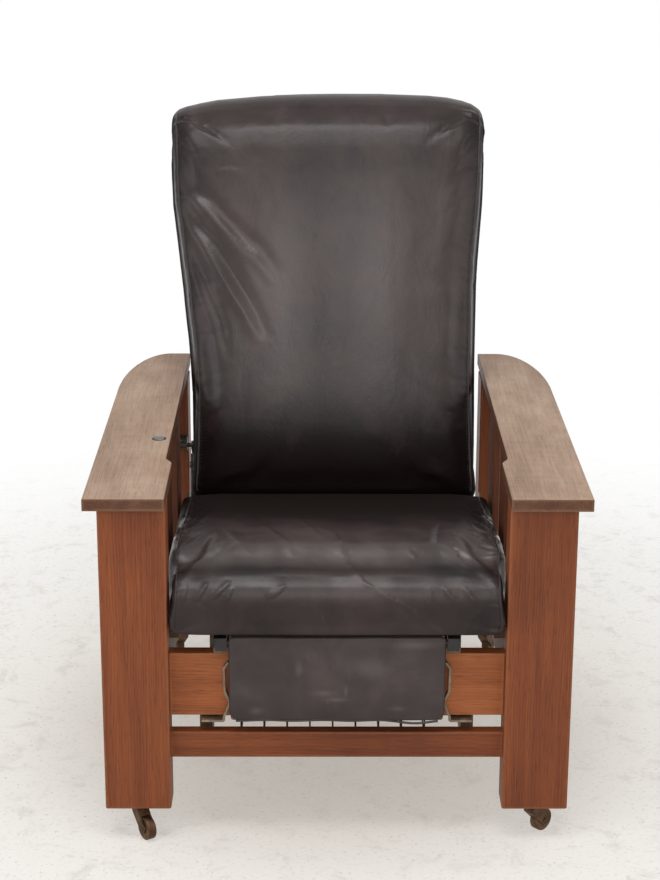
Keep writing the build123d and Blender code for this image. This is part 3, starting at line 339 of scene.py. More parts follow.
# Leather: fine grain, soft ripples, polish, a few scuffs, and painted shade and highlights carried by a point
# attribute
def leather(name, deep, mid, pale, scuffs=0.25, roughness=0.36):
    """Dark brown leather; a point attribute makes it darker where it is low, as painted shade, and paler
    where it is high, as painted highlights, glints and rubbed scuffs.
    """
    finish = Finish(name)
    coordinates = finish.place()
    inputs = {"Vector": coordinates, "Scale": 900.0}
    cells = finish.add("ShaderNodeTexVoronoi", inputs, feature="F1").outputs["Distance"]
    inputs = {"Vector": coordinates, "Scale": 240.0}
    cracks = finish.add("ShaderNodeTexVoronoi", inputs, feature="DISTANCE_TO_EDGE").outputs["Distance"]
    wander = finish.noise(coordinates, 14.0, 6.0, 0.6, 0.6)
    broad = finish.noise(coordinates, 4.2, 4.0, 0.5)
    # The point attribute that paints shade where it is low, and highlights, glints and scuffs where it is
    # high, into the colour
    wear_and_painted_light = finish.add("ShaderNodeAttribute", attribute_name="wear_and_painted_light").outputs["Fac"]
    tone = finish.weighted((wander, 0.45), (broad, 0.45), (wear_and_painted_light, 0.28))
    colour = finish.colours(tone, ((0.26, deep), (0.46, mid), (0.76, pale)))
    streaks = finish.place(scale=(60, 9, 24), turn=(0.3, 0.5, 0.9))
    scuffed = finish.math("MULTIPLY", finish.ramp(finish.noise(streaks, 1.0, 4.0, 0.7), 0.66, 0.80), scuffs)
    ragged = finish.math("ADD", finish.noise(finish.place(scale=(1, 0.5, 1)), 90.0, 5.0, 0.7), 0.25)
    # Pale where the attribute is highest: rubbed-bare leather and painted glints
    bare_wear_and_glints = finish.ramp(finish.math("MULTIPLY", wear_and_painted_light, ragged), 0.75, 1.10)
    colour = finish.mix(scuffed, colour, rgb(118, 106, 100))
    colour = finish.mix(bare_wear_and_glints, colour, rgb(176, 166, 158))
    rough = finish.math("ADD", finish.math("MULTIPLY", wander, 0.16), roughness - 0.08)
    rough = finish.math("ADD", rough, finish.math("MULTIPLY", scuffed, 0.3))
    rough = finish.math("ADD", rough, finish.ramp(wear_and_painted_light, -1.1, -0.4, 0.30, 0.0))
    grain = finish.weighted((finish.ramp(cells, 0.15, 0.75), -0.35), (finish.ramp(cracks, 0.0, 0.10), 0.65))
    fine = finish.bump(grain, 0.00012, 0.40)
    small = finish.bump(finish.noise(coordinates, 60.0, 4.0, 0.55, 1.6), 0.0007, 0.30, fine)
    ripples = finish.noise(finish.place(scale=(1.5, 1, 0.8)), 11.0, 4.0, 0.5, 0.8)
    normal = finish.bump(ripples, 0.0040, 0.40, small)
    shine = finish.ramp(wear_and_painted_light, -1.1, 1.0, 0.03, 0.62)
    return finish.finish(Base_Color=colour, Roughness=rough, Normal=normal, Specular_IOR_Level=shine)


SEAT_LEATHER = leather("seat_leather", rgb(26, 19, 18), rgb(51, 41, 39), rgb(78, 67, 64))
BACK_LEATHER = leather("back_leather", rgb(22, 15, 14), rgb(47, 37, 35), rgb(72, 60, 58), 0.12, 0.34)
REST_LEATHER = leather("leg_rest_leather", rgb(40, 32, 31), rgb(60, 50, 48), rgb(90, 80, 77), 0.6, 0.44)
WELT_LEATHER = leather("welt_leather", rgb(20, 15, 14), rgb(34, 27, 26), rgb(58, 50, 48), 0.3, 0.38)


def thread():
    """Waxed dark thread with a twist."""
    finish = Finish("waxed_thread")
    twist = finish.noise(finish.place(), 900.0, 2.0)
    colour = finish.mix(twist, rgb(20, 15, 13), rgb(46, 38, 33))
    return finish.finish(Base_Color=colour, Roughness=0.62, Normal=finish.bump(twist, 0.0002, 0.5))


THREAD = thread()


def jute():
    """Brown woven tape with warp and weft threads."""
    finish = Finish("jute_tape")
    coordinates = finish.place()
    inputs = {"Vector": coordinates, "Scale": 190.0, "Distortion": 0.8}
    warp = finish.add("ShaderNodeTexWave", inputs, bands_direction="X").outputs["Fac"]
    weft = finish.add("ShaderNodeTexWave", inputs, bands_direction="Y").outputs["Fac"]
    threads = finish.math("MULTIPLY", warp, weft)
    tone = finish.weighted((threads, 0.5), (finish.noise(coordinates, 16.0, 4.0), 0.5))
    colour = finish.colours(tone, ((0.2, rgb(74, 58, 40)), (0.5, rgb(122, 99, 70)), (0.8, rgb(156, 132, 98))))
    return finish.finish(Base_Color=colour, Roughness=0.9, Normal=finish.bump(threads, 0.0005, 0.6))


JUTE = jute()


# Mesh helpers
def new_object(name, points, faces):
    mesh = bpy.data.meshes.new(name)
    mesh.from_pydata([tuple(p) for p in points], [], faces)
    mesh.validate()
    thing = bpy.data.objects.new(name, mesh)
    scene.collection.objects.link(thing)
    return thing


def points_of(thing):
    points = np.empty(len(thing.data.vertices) * 3)
    thing.data.vertices.foreach_get("co", points)
    return points.reshape(-1, 3)


def move_points(thing, points):
    thing.data.vertices.foreach_set("co", np.asarray(points, np.float32).ravel())
    thing.data.update()


def normals_of(thing):
    normals = np.empty(len(thing.data.vertices) * 3)
    thing.data.vertex_normals.foreach_get("vector", normals)
    return normals.reshape(-1, 3)


def settled(thing, name=None):
    """A plain mesh of an object with all its modifiers made real."""
    graph = bpy.context.evaluated_depsgraph_get()
    graph.update()
    mesh = bpy.data.meshes.new_from_object(thing.evaluated_get(graph), depsgraph=graph)
    final_name = name or thing.name
    materials = [slot.material for slot in thing.material_slots]
    bpy.data.objects.remove(thing)
    mesh.name = final_name
    if len(mesh.materials) == 0:
        for material in materials:
            mesh.materials.append(material)
    result = bpy.data.objects.new(final_name, mesh)
    scene.collection.objects.link(result)
    return result


def smooth_shaded(thing, material=None):
    thing.data.polygons.foreach_set("use_smooth", [True] * len(thing.data.polygons))
    if material is not None:
        thing.data.materials.clear()
        thing.data.materials.append(material)
    return thing


def outward(thing):
    """Merges doubles and turns every face outwards."""
    shape = bmesh.new()
    shape.from_mesh(thing.data)
    bmesh.ops.remove_doubles(shape, verts=shape.verts, dist=1e-6)
    bmesh.ops.recalc_face_normals(shape, faces=shape.faces)
    shape.to_mesh(thing.data)
    shape.free()
    return thing


def skin(rings):
    """Faces that join closed rings of points in order, with both ends closed."""
    count = len(rings[0])
    points = np.concatenate(rings)
    faces = []
    for row in range(len(rings) - 1):
        for column in range(count):
            following = (column + 1) % count
            faces.append((
                row * count + column,
                row * count + following,
                (row + 1) * count + following,
                (row + 1) * count + column,
            ))
    faces.append(tuple(range(count)))
    faces.append(tuple(range((len(rings) - 1) * count, len(rings) * count)))
    return points, faces


def rounded_outline(corners, radius, steps=6):
    """A closed outline through corners, each rounded to a radius of its own or to a shared one."""
    outline = []
    count = len(corners)
    for i, corner in enumerate(corners):
        corner = np.array(corner, float)
        size = radius[i] if hasattr(radius, "__len__") else radius
        before = np.array(corners[i - 1], float) - corner
        after = np.array(corners[(i + 1) % count], float) - corner
        reach = min(size, np.linalg.norm(before) * 0.49, np.linalg.norm(after) * 0.49)
        start = corner + before / np.linalg.norm(before) * reach
        end = corner + after / np.linalg.norm(after) * reach
        for step in range(steps + 1):
            t = step / steps
            outline.append((1 - t) ** 2 * start + 2 * t * (1 - t) * corner + t * t * end)
    return np.array(outline)


def lengths_along(path):
    """How far along a line of points each of them is."""
    return np.concatenate(((0,), np.cumsum(np.linalg.norm(np.diff(path, axis=0), axis=1))))


def spaced(path, count, endpoint=True):
    """An open line of points, spaced evenly."""
    path = np.array(path, float)
    lengths = lengths_along(path)
    marks = np.linspace(0, lengths[-1], count, endpoint=endpoint)
    return np.column_stack([np.interp(marks, lengths, path[:, axis]) for axis in range(path.shape[1])])


def resampled(outline, count):
    """The same closed outline with evenly spaced points."""
    return spaced(np.vstack((outline, outline[:1])), count, endpoint=False)


def puffed(thing, voxel, cap, pressure=4.0, held=None):
    """A stuffed form: an even skin blown up a little as cloth, no point moving further than the cap."""
    remesh = thing.modifiers.new("even_skin", "REMESH")
    remesh.mode = "VOXEL"
    remesh.voxel_size = voxel
    remesh.use_smooth_shade = True
    form = settled(thing)
    start = points_of(form)
    if held is not None:
        group = form.vertex_groups.new(name="held")
        group.add([int(i) for i in np.flatnonzero(held(start))], 1.0, "REPLACE")
    cloth = form.modifiers.new("stuffing", "CLOTH")
    cloth.settings.quality = 5
    cloth.settings.mass = 0.3
    cloth.settings.tension_stiffness = 12
    cloth.settings.compression_stiffness = 12
    cloth.settings.shear_stiffness = 6
    cloth.settings.bending_stiffness = 0.6
    cloth.settings.use_pressure = True
    cloth.settings.uniform_pressure_force = pressure
    cloth.settings.effector_weights.gravity = 0
    if held is not None:
        cloth.settings.vertex_group_mass = "held"
    for frame_number in range(FIRST_FRAME, LAST_FRAME + 1):
        scene.frame_set(frame_number)
    form = settled(form)
    scene.frame_set(FIRST_FRAME)
    moved = points_of(form) - start
    length = np.linalg.norm(moved, axis=1, keepdims=True)
    move_points(form, start + moved * np.minimum(1, cap / np.maximum(length, 1e-9)))
    subdivided = form.modifiers.new("finer_skin", "SUBSURF")
    subdivided.levels = subdivided.render_levels = 1
    return settled(form)


def nearest_on_path(points, normals, path):
    """How far each point is from a line of points, on which side of it, and how far along as a share."""
    best = np.full(len(points), 1e9)
    along = np.zeros(len(points))
    side = np.ones(len(points))
    lengths = lengths_along(path)
    for i in range(len(path) - 1):
        leg = path[i + 1] - path[i]
        share = np.clip((points - path[i]) @ leg / (leg @ leg), 0, 1)
        offset = points - path[i] - share[:, None] * leg
        gap = np.linalg.norm(offset, axis=1)
        nearer = gap < best
        best = np.where(nearer, gap, best)
        side = np.where(nearer, np.sign((np.cross(leg, normals) * offset).sum(1)), side)
        reached = lengths[i] + share * (lengths[i + 1] - lengths[i])
        along = np.where(nearer, reached / lengths[-1], along)
    return best, side, along


def creased(thing, creases, lip_share=0.75):
    """Presses folds into a skin: each is a valley along a line, with a raised lip on one side of it."""
    for path, width, depth in creases:
        points = points_of(thing)
        normals = normals_of(thing)
        path = np.array(path, float)
        low = path.min(0) - abs(width) * 5
        high = path.max(0) + abs(width) * 5
        near = np.flatnonzero(np.all((points > low) & (points < high), axis=1))
        if len(near) == 0:
            continue
        gap, side, along = nearest_on_path(points[near], normals[near], path)
        across = gap * side / width
        fade = np.sin(np.clip(along, 0, 1) * math.pi) ** 0.6
        valley = np.exp(-(across**2))
        lip = np.exp(-(((across - 1.9) / 1.0) ** 2))
        points[near] += normals[near] * ((lip * lip_share - valley) * depth * fade)[:, None]
        move_points(thing, points)


def puckered(thing, path, pitch, reach, depth, seed):
    """Gathers the skin in small uneven puckers along a seam."""
    points = points_of(thing)
    normals = normals_of(thing)
    path = np.array(path, float)
    gap, side, along = nearest_on_path(points, normals, path)
    phase = along * lengths_along(path)[-1] / pitch * 2 * math.pi
    uneven = np.sin(phase + 1.7 * np.sin(phase * 0.37 + seed))
    uneven *= 0.55 + 0.45 * np.sin(phase * 0.13 + seed * 2.1)
    fade = np.exp(-((gap / reach) ** 2)) * (1 - np.exp(-((gap / 0.003) ** 2)))
    move_points(thing, points + normals * (uneven * fade * depth)[:, None])


def set_wear_and_painted_light(thing, values):
    """How much darker the leather is drawn, from -1, and how much paler, up to 1: painted shade and
    highlights on the seat and back, painted glints and bared leather at the seat's corners, and scuffs on the
    leg rest.
    """
    attribute = thing.data.attributes.new("wear_and_painted_light", "FLOAT", "POINT")
    attribute.data.foreach_set("value", np.asarray(values, np.float32))


def spot(points, middle, reach):
    """A soft round patch about a place."""
    return np.exp(-(np.linalg.norm((points - np.array(middle)) / np.array(reach), axis=1) ** 2))


def eased(value, low, high):
    """A smooth step from 0 to 1 between two limits."""
    t = np.clip((value - low) / (high - low), 0, 1)
    return t * t * (3 - 2 * t)


def laid_on(thing, path, sunk=0.0):
    """A line moved onto the nearest part of a skin and sunk a little, and the skin's normals there."""
    faces = [tuple(face.vertices) for face in thing.data.polygons]
    tree = BVHTree.FromPolygons([tuple(point) for point in points_of(thing)], faces)
    nearest = [tree.find_nearest(Vector(place)) for place in path]
    normals = np.array([tuple(found[1]) for found in nearest])
    places = np.array([tuple(found[0]) for found in nearest]) - normals * sunk
    for smoothing in range(3):
        places[1:-1] = (places[:-2] + 2 * places[1:-1] + places[2:]) / 4
    return places, normals


def welt_cord(name, path, radius, body, material):
    """A covered cord sewn along a seam."""
    curve = bpy.data.curves.new(name, "CURVE")
    curve.dimensions = "3D"
    curve.bevel_depth = radius
    curve.bevel_resolution = 3
    curve.use_fill_caps = True
    spline = curve.splines.new("POLY")
    spline.points.add(len(path) - 1)
    for point, place in zip(spline.points, path):
        point.co = (*place, 1)
    thing = bpy.data.objects.new(name + "_line", curve)
    scene.collection.objects.link(thing)
    thing = settled(thing, name)
    smooth_shaded(thing, material)
    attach(thing, body)
    return thing


# Small things that repeat, such as stitches, nails and screw heads, set out by Geometry Nodes
def set_out_nodes():
    """A node group that puts a rounded head on every point, turned by the points' attributes."""
    tree = bpy.data.node_groups.new("set_out_heads", "GeometryNodeTree")
    sockets = {}
    for name, kind in (("Places", "Geometry"), ("Size", "Vector"), ("Finish", "Material")):
        socket = tree.interface.new_socket(name, in_out="INPUT", socket_type="NodeSocket" + kind)
        sockets[name] = socket.identifier
    tree.interface.new_socket("Heads", in_out="OUTPUT", socket_type="NodeSocketGeometry")

    def add(kind, **settings):
        node = tree.nodes.new(kind)
        for key, value in settings.items():
            setattr(node, key, value)
        return node

    given = add("NodeGroupInput").outputs
    head = add("GeometryNodeMeshUVSphere")
    head.inputs["Segments"].default_value = 14
    head.inputs["Rings"].default_value = 8
    head.inputs["Radius"].default_value = 1
    facing = add("GeometryNodeInputNamedAttribute", data_type="FLOAT_VECTOR")
    facing.inputs["Name"].default_value = "facing"
    along = add("GeometryNodeInputNamedAttribute", data_type="FLOAT_VECTOR")
    along.inputs["Name"].default_value = "along"
    raised = add("FunctionNodeAlignRotationToVector", axis="Z")
    turned = add("FunctionNodeAlignRotationToVector", axis="X", pivot_axis="Z")
    placed = add("GeometryNodeInstanceOnPoints")
    real = add("GeometryNodeRealizeInstances")
    finished = add("GeometryNodeSetMaterial")
    result = add("NodeGroupOutput")
    for start, end in (
        (facing.outputs["Attribute"], raised.inputs["Vector"]),
        (along.outputs["Attribute"], turned.inputs["Vector"]),
        (raised.outputs["Rotation"], turned.inputs["Rotation"]),
        (given["Places"], placed.inputs["Points"]),
        (head.outputs["Mesh"], placed.inputs["Instance"]),
        (turned.outputs["Rotation"], placed.inputs["Rotation"]),
        (given["Size"], placed.inputs["Scale"]),
        (placed.outputs["Instances"], real.inputs["Geometry"]),
        (real.outputs["Geometry"], finished.inputs["Geometry"]),
        (given["Finish"], finished.inputs["Material"]),
        (finished.outputs["Geometry"], result.inputs["Heads"]),
    ):
        tree.links.new(start, end)
    return tree, sockets


SET_OUT, SET_OUT_SOCKETS = set_out_nodes()


def set_out(name, spots, size, finish, body):
    """One mesh of small heads, at spots that each say a place, where it faces and where its length runs."""
    thing = new_object(name + "_spots", [place for place, facing, along in spots], [])
    for label, column in (("facing", 1), ("along", 2)):
        attribute = thing.data.attributes.new(label, "FLOAT_VECTOR", "POINT")
        attribute.data.foreach_set("vector", np.array([spot[column] for spot in spots], np.float32).ravel())
    heads = thing.modifiers.new("heads", "NODES")
    heads.node_group = SET_OUT
    heads[SET_OUT_SOCKETS["Size"]] = size
    heads[SET_OUT_SOCKETS["Finish"]] = finish
    thing = settled(thing, name)
    smooth_shaded(thing)
    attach(thing, body)
    return thing


def along_line(path, pitch, facings):
    """Spots spaced evenly along a line of points, each facing as the line's nearest point does."""
    path = np.array(path)
    facings = np.array(facings)
    lengths = lengths_along(path)
    spots = []
    for mark in np.arange(pitch / 2, lengths[-1], pitch):
        i = min(int(np.searchsorted(lengths, mark)), len(path) - 1)
        share = (mark - lengths[i - 1]) / max(lengths[i] - lengths[i - 1], 1e-9)
        leg = path[i] - path[i - 1]
        spots.append((path[i - 1] + leg * share, facings[i], leg / max(np.linalg.norm(leg), 1e-9)))
    return spots


# Seat cushion: its outline from the side in metres backward and up, and the rings across it, each with its
# place as a share of half the width and how much of the outline's height it keeps
SEAT_HALF = 0.262
SEAM_INSET = 0.0065
SEAT_END_TAPER = 0.22
seat_outline = [(v / 1000, w / 1000) for v, w in (
    (518, 90), (519, 60), (519, 30), (505, 24), (300, 23.5), (40, 23.5), (13, 23.5), (11, 12), (8, 0.2),
    (-3, -1.4), (-11, 1), (-16, 10), (-18.5, 28), (-19, 46), (-16.5, 62), (-10, 76), (0, 86.5), (12, 93),
    (24, 96), (36, 98), (46, 101), (52, 105), (58, 111.5), (66, 118), (80, 121), (110, 121.5), (160, 121),
    (260, 117.5), (380, 109.5), (470, 101), (505, 96),
)]
seat_rings = (
    (-1.0, 0.84), (-0.99, 0.91), (-0.975, 0.965), (-0.94, 0.99), (-0.8, 1.0), (-0.4, 1.0),
    (0, 1.005), (0.4, 1.0), (0.8, 1.0), (0.94, 0.99), (0.975, 0.965), (0.99, 0.91), (1.0, 0.84),
)


def on_seat(x, v, w):
    """A place on the seat from millimetres across, backward and up."""
    return SEAT_ORIGIN + ACROSS * x / 1000 + SEAT_BACKWARD * v / 1000 + SEAT_UP * w / 1000


# Folds in the seat: their lines in millimetres on the seat, half width and depth in metres
seat_folds = (
    (((-246, 34, 100), (-170, 28, 98), (-90, 36, 100), (0, 28, 98), (90, 34, 100), (170, 27, 98),
      (246, 36, 100)), 0.0080, 0.0016),
    (((-28, 172, 121), (-3, 130, 121), (12, 65, 120), (30, 19, 104), (44, -3, 90)), 0.0042, 0.0030),
    (((40, 2, 94), (58, -12, 82), (76, -17, 70), (96, -19, 57)), 0.0040, 0.0026),
    (((92, -18, 62), (116, -19, 46), (138, -17, 28), (167, -11, 8)), 0.0040, 0.0028),
    (((-126, 215, 119), (-91, 125, 121), (-59, 53, 118)), 0.0060, 0.0026),
    (((-60, 244, 118), (-40, 171, 120), (-19, 102, 121)), 0.0050, 0.0022),
    (((-168, 180, 120), (-150, 110, 121), (-128, 60, 119)), 0.0080, 0.0020),
    (((118, 70, 119), (124, 50, 117), (133, 32, 111)), 0.0034, 0.0020),
    (((186, 72, 119), (194, 50, 117), (205, 30, 110)), 0.0034, 0.0022),
    (((168, 200, 119), (160, 140, 121), (155, 76, 120)), 0.0060, 0.0028),
    (((-232, -4, 88), (-233, -14, 74), (-237, -18, 56)), 0.0036, 0.0034),
    (((-200, -3, 88), (-206, -13, 76), (-217, -18, 55)), 0.0040, 0.0038),
    (((-164, -2, 89), (-176, -13, 77), (-196, -18, 56)), 0.0042, 0.0040),
    (((-160, -10, 82), (-165, -16, 70), (-172, -19, 54)), 0.0038, 0.0036),
    (((-78, -8, 83), (-90, -15, 72), (-108, -18, 60)), 0.0044, 0.0028),
    (((-222, -17, 62), (-200, -19, 44), (-190, -17, 22)), 0.0050, 0.0016),
    (((144, -8, 83), (147, -15, 71), (150, -18, 60)), 0.0036, 0.0020),
    (((166, -8, 84), (178, -16, 69), (193, -19, 54)), 0.0040, 0.0038),
    (((198, -8, 84), (208, -16, 70), (221, -19, 54)), 0.0040, 0.0038),
    (((226, -4, 88), (236, -13, 76), (243, -17, 62)), 0.0034, 0.0020),
    # The tucked corners, where the cover is pulled down beside the arms
    (((-258, 120, 108), (-240, 150, 117), (-214, 190, 119)), 0.0050, 0.0046),
    (((-258, 165, 106), (-238, 205, 114), (-216, 262, 116)), 0.0050, 0.0050),
    (((-258, 210, 104), (-244, 250, 111), (-226, 320, 112)), 0.0046, 0.0044),
    (((-258, 84, 108), (-244, 92, 116), (-222, 112, 120)), 0.0040, 0.0034),
    (((258, 110, 108), (242, 134, 117), (212, 156, 120)), 0.0050, 0.0048),
    (((258, 160, 106), (236, 196, 115), (204, 262, 117)), 0.0054, 0.0054),
    (((258, 215, 104), (240, 262, 111), (212, 340, 111)), 0.0050, 0.0050),
    (((258, 270, 101), (244, 316, 107), (222, 400, 106)), 0.0046, 0.0040),
    (((258, 76, 108), (244, 80, 116), (224, 92, 120)), 0.0040, 0.0034),
)
# Where the cover is drawn pale at the tucked corners, as rubbed-bare leather and painted glints, in
# millimetres on the seat
seat_bare_and_glint_spots = (
    (-267, 212, 105), (-262, 240, 111), (-269, 178, 101), (-256, 276, 114), (-264, 156, 108),
    (267, 226, 105), (261, 256, 111), (269, 184, 102), (270, 148, 99), (253, 300, 113), (262, 160, 109),
)


# Half the room between the legs, and how far the sides swell and reach past it where they are free
BETWEEN_LEGS_HALF = 0.2632
SEAT_SWELL = 0.0100
SEAT_OVERHANG = 0.0076


def kept_in_the_chair(points):
    """Between the legs and posts the seat's sides stop short of the oak; in front of them they bulge."""
    local = points - SEAT_ORIGIN
    forward = -points[:, 1] + FRONT_Y
    x = np.abs(points[:, 0])
    up = local @ SEAT_UP
    shoulder = eased(-forward, 0.058, 0.075) * eased(up, 0.040, 0.070)
    barrel = np.clip(1 - ((up - 0.048) / 0.056) ** 2, 0, 1)
    in_front = eased(forward, 0.002, 0.012) * barrel
    swell = (in_front + shoulder) * eased(x, 0.215, 0.256) * SEAT_SWELL
    free = eased(forward, 0.001, 0.006) * barrel + eased(-forward, 0.058, 0.064)
    limit = BETWEEN_LEGS_HALF + free * SEAT_OVERHANG
    points[:, 0] = np.sign(points[:, 0]) * np.minimum(x + swell, limit)
    return points


def seat_seam(side):
    """The line of the seam beside the seat's front and top."""
    front_and_top = seat_outline[seat_outline.index((0.008, 0.0002)):]
    return [on_seat(side * (SEAT_HALF - SEAM_INSET) * 1000, v * 1000, w * 1000) for v, w in front_and_top]


def seat_cushion():
    """A thick seat that folds over the front of its frame, full in the middle and drawn in at the sides."""
    outline = resampled(np.array(seat_outline), 150)
    middle = np.array((0.25, 0.06))
    rings = []
    for share, keep in seat_rings:
        ring = middle + (outline - middle) * np.array((1 - (1 - keep) * SEAT_END_TAPER, keep))
        rings.append(np.array([on_seat(share * SEAT_HALF * 1000, v * 1000, w * 1000) for v, w in ring]))
    thing = outward(new_object("seat_cushion_leather", *skin(rings)))

    def on_the_frame(points):
        v, w = (points - SEAT_ORIGIN) @ SEAT_BACKWARD, (points - SEAT_ORIGIN) @ SEAT_UP
        return ((w < 0.028) & (v > 0)) | (w < 0.006) | (v > 0.495)

    thing = puffed(thing, 0.0056, 0.007, held=on_the_frame)
    move_points(thing, kept_in_the_chair(points_of(thing)))
    creased(thing, [([on_seat(*place) for place in line], width, depth) for line, width, depth in seat_folds])
    for side in (-1, 1):
        seam = spaced(seat_seam(side), 90)
        puckered(thing, seam, 0.019, 0.022, 0.0009, 2.0 + side)
        creased(thing, [(seam, 0.0035, 0.0026)], 0.3)
    points = points_of(thing)
    backward = (points - SEAT_ORIGIN) @ SEAT_BACKWARD
    up = (points - SEAT_ORIGIN) @ SEAT_UP
    # Painted shade: darker towards the rear, under the back and arms, and low on the front
    wear_and_painted_light = -0.95 * eased(backward, 0.10, 0.32) - 0.30 * eased(up, 0.075, 0.045)
    x = points[:, 0]
    # Painted highlight along the upper roll, patchy across the seat, and painted shade in the valley below it
    patchy = 0.5 + 0.5 * np.sin(x * 31 + 1.3 * np.sin(x * 73 + 0.6) + backward * 20)
    wear_and_painted_light += (0.10 + 0.45 * patchy) * np.exp(-(((backward - 0.058) / 0.018) ** 2))
    wear_and_painted_light -= 0.45 * np.exp(-(((backward - 0.026) / 0.014) ** 2))
    # Along the front roll, painted shade, lifted to a faint painted highlight in patches
    wear_and_painted_light += (0.30 * patchy - 0.25) * np.exp(-(((up - 0.086) / 0.012) ** 2)) * (backward < 0.012)
    # Pale spots at the tucked corners: rubbed-bare leather and painted glints
    for place in seat_bare_and_glint_spots:
        wear_and_painted_light += 2.3 * spot(points, on_seat(*place), (0.009, 0.015, 0.009))
    set_wear_and_painted_light(thing, wear_and_painted_light)
    return thing


# Half the length, width and height of a stitch
STITCH = (0.0019, 0.00042, 0.00042)


def sewn_seam(name, thing, path, inboard, body):
    """A covered cord along a seam, and a row of stitches beside it."""
    places, normals = laid_on(thing, spaced(path, 160), 0.0006)
    welt_cord(name + "_welt", places, 0.0021, body, WELT_LEATHER)
    beside, facings = laid_on(thing, places + np.array(inboard) * 0.0062)
    set_out(name + "_stitches", along_line(beside, 0.0064, facings), STITCH, THREAD, body)


seat = seat_cushion()
smooth_shaded(seat, SEAT_LEATHER)
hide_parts("seat_cushion")
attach(seat, "frame")
for name, side in (("left", -1), ("right", 1)):
    sewn_seam(f"seat_{name}", seat, seat_seam(side), (-side, 0, 0), "frame")


# Back cushion: each row is a height up the back, its left and right edges and its thickness, in millimetres
back_profile = (
    (6, -257, 250, 98), (10, -260, 254, 112), (22, -260, 257, 123), (50, -261, 258, 127),
    (128, -261, 258, 130), (200, -262, 258, 130), (250, -265, 258, 130), (300, -269, 259, 130),
    (350, -275, 260, 130), (400, -280, 261, 130), (450, -286, 264, 130), (500, -292, 268, 129),
    (550, -298, 272, 128), (600, -300, 274, 126.5), (650, -301, 275, 124), (690, -301, 275, 119),
    (718, -301, 275, 112), (737, -300, 274, 102), (750, -299, 273, 89), (758, -297, 272, 76),
    (764, -294, 269, 60),
)
# How far the top edge hangs below its highest place, across the back
top_droop = (
    (-297, 36), (-288, 31), (-272, 24), (-248, 17), (-217, 11), (-135, 4), (-60, 1), (0, 0), (100, 0),
    (170, 2), (205, 5), (234, 11), (250, 17), (257, 22), (266, 29), (272, 36),
)
BACK_REAR = 0.0128
BACK_SEAM_INSET = 0.0085
BACK_FULLNESS = 0.007


def on_back(x, v, w):
    """A place on the back from millimetres across, up and forward."""
    return BACK_ORIGIN + ACROSS * x / 1000 + BACK_UP * v / 1000 + BACK_FORWARD * w / 1000


# Folds in the back: their lines in millimetres on the back, half width and depth in metres
back_folds = (
    (((-272, 560, 118), (-240, 505, 134), (-189, 425, 137), (-144, 353, 139), (-118, 300, 139)),
     0.0105, 0.0048),
    (((-280, 622, 116), (-244, 570, 132), (-190, 515, 136), (-132, 461, 138), (-96, 410, 138)),
     0.0120, 0.0038),
    (((-262, 470, 118), (-236, 410, 134), (-205, 330, 137), (-190, 260, 138)), 0.0090, 0.0030),
    (((-158, 520, 137), (-150, 440, 138), (-146, 340, 139), (-146, 240, 139), (-150, 160, 138)),
     0.0380, 0.0014),
    (((-40, 600, 135), (-44, 480, 138), (-48, 360, 139), (-46, 240, 139), (-40, 150, 138)), 0.0420, 0.0012),
    (((64, 640, 134), (60, 500, 138), (58, 360, 139), (60, 220, 139), (66, 130, 138)), 0.0400, 0.0012),
    (((168, 640, 133), (166, 500, 137), (164, 360, 138), (168, 220, 138), (176, 120, 137)), 0.0440, 0.0018),
    (((-216, 606, 129), (-190, 611, 131), (-160, 606, 133)), 0.0060, 0.0012),
    (((-290, 700, 92), (-268, 702, 112), (-232, 700, 121)), 0.0060, 0.0034),
    (((268, 694, 92), (252, 704, 110), (226, 716, 112)), 0.0056, 0.0032),
    (((-226, 560, 130), (-170, 480, 136), (-118, 388, 138)), 0.0090, 0.0014),
    (((-236, 300, 134), (-222, 240, 136), (-214, 180, 136)), 0.0090, 0.0014),
    (((232, 420, 132), (224, 340, 134), (218, 250, 134)), 0.0110, 0.0012),
)


def fitted_back(points):
    """Brings the skin's sides to the back's measured edges, and lets the top hang at its corners."""
    local = points - BACK_ORIGIN
    v, w = local @ BACK_UP, local @ BACK_FORWARD
    rows = np.array(back_profile) / 1000
    left, right = (np.interp(v, rows[:, 0], rows[:, column]) for column in (1, 2))
    bands = np.arange(0.01, 0.77, 0.01)
    seen = [points[np.abs(v - band) < 0.008, 0] for band in bands]
    reach_left = np.interp(v, bands, [band.min() if len(band) else -0.25 for band in seen])
    reach_right = np.interp(v, bands, [band.max() if len(band) else 0.25 for band in seen])
    x = points[:, 0]
    centre = (left + right) / 2
    grown_left = (left - centre) / (reach_left - centre)
    grown_right = (right - centre) / (reach_right - centre)
    grown = np.where(x < centre, grown_left, grown_right)
    points = points.copy()
    points[:, 0] = centre + (x - centre) * np.clip(grown, 0.9, 1.1)
    droop = np.interp(points[:, 0] * 1000, *np.array(top_droop).T) / 1000
    return points - np.outer(droop * eased(v, 0.60, 0.745), BACK_UP)


def back_seam(side):
    """The line of the seam beside the back's front, from the bottom to the top."""
    line = []
    for v, left, right, front in back_profile[2:-2]:
        edge = left + BACK_SEAM_INSET * 1000 if side < 0 else right - BACK_SEAM_INSET * 1000
        droop = np.interp(edge, *np.array(top_droop).T) * float(eased(v, 600, 745))
        line.append(on_back(edge, v - droop, front))
    return line


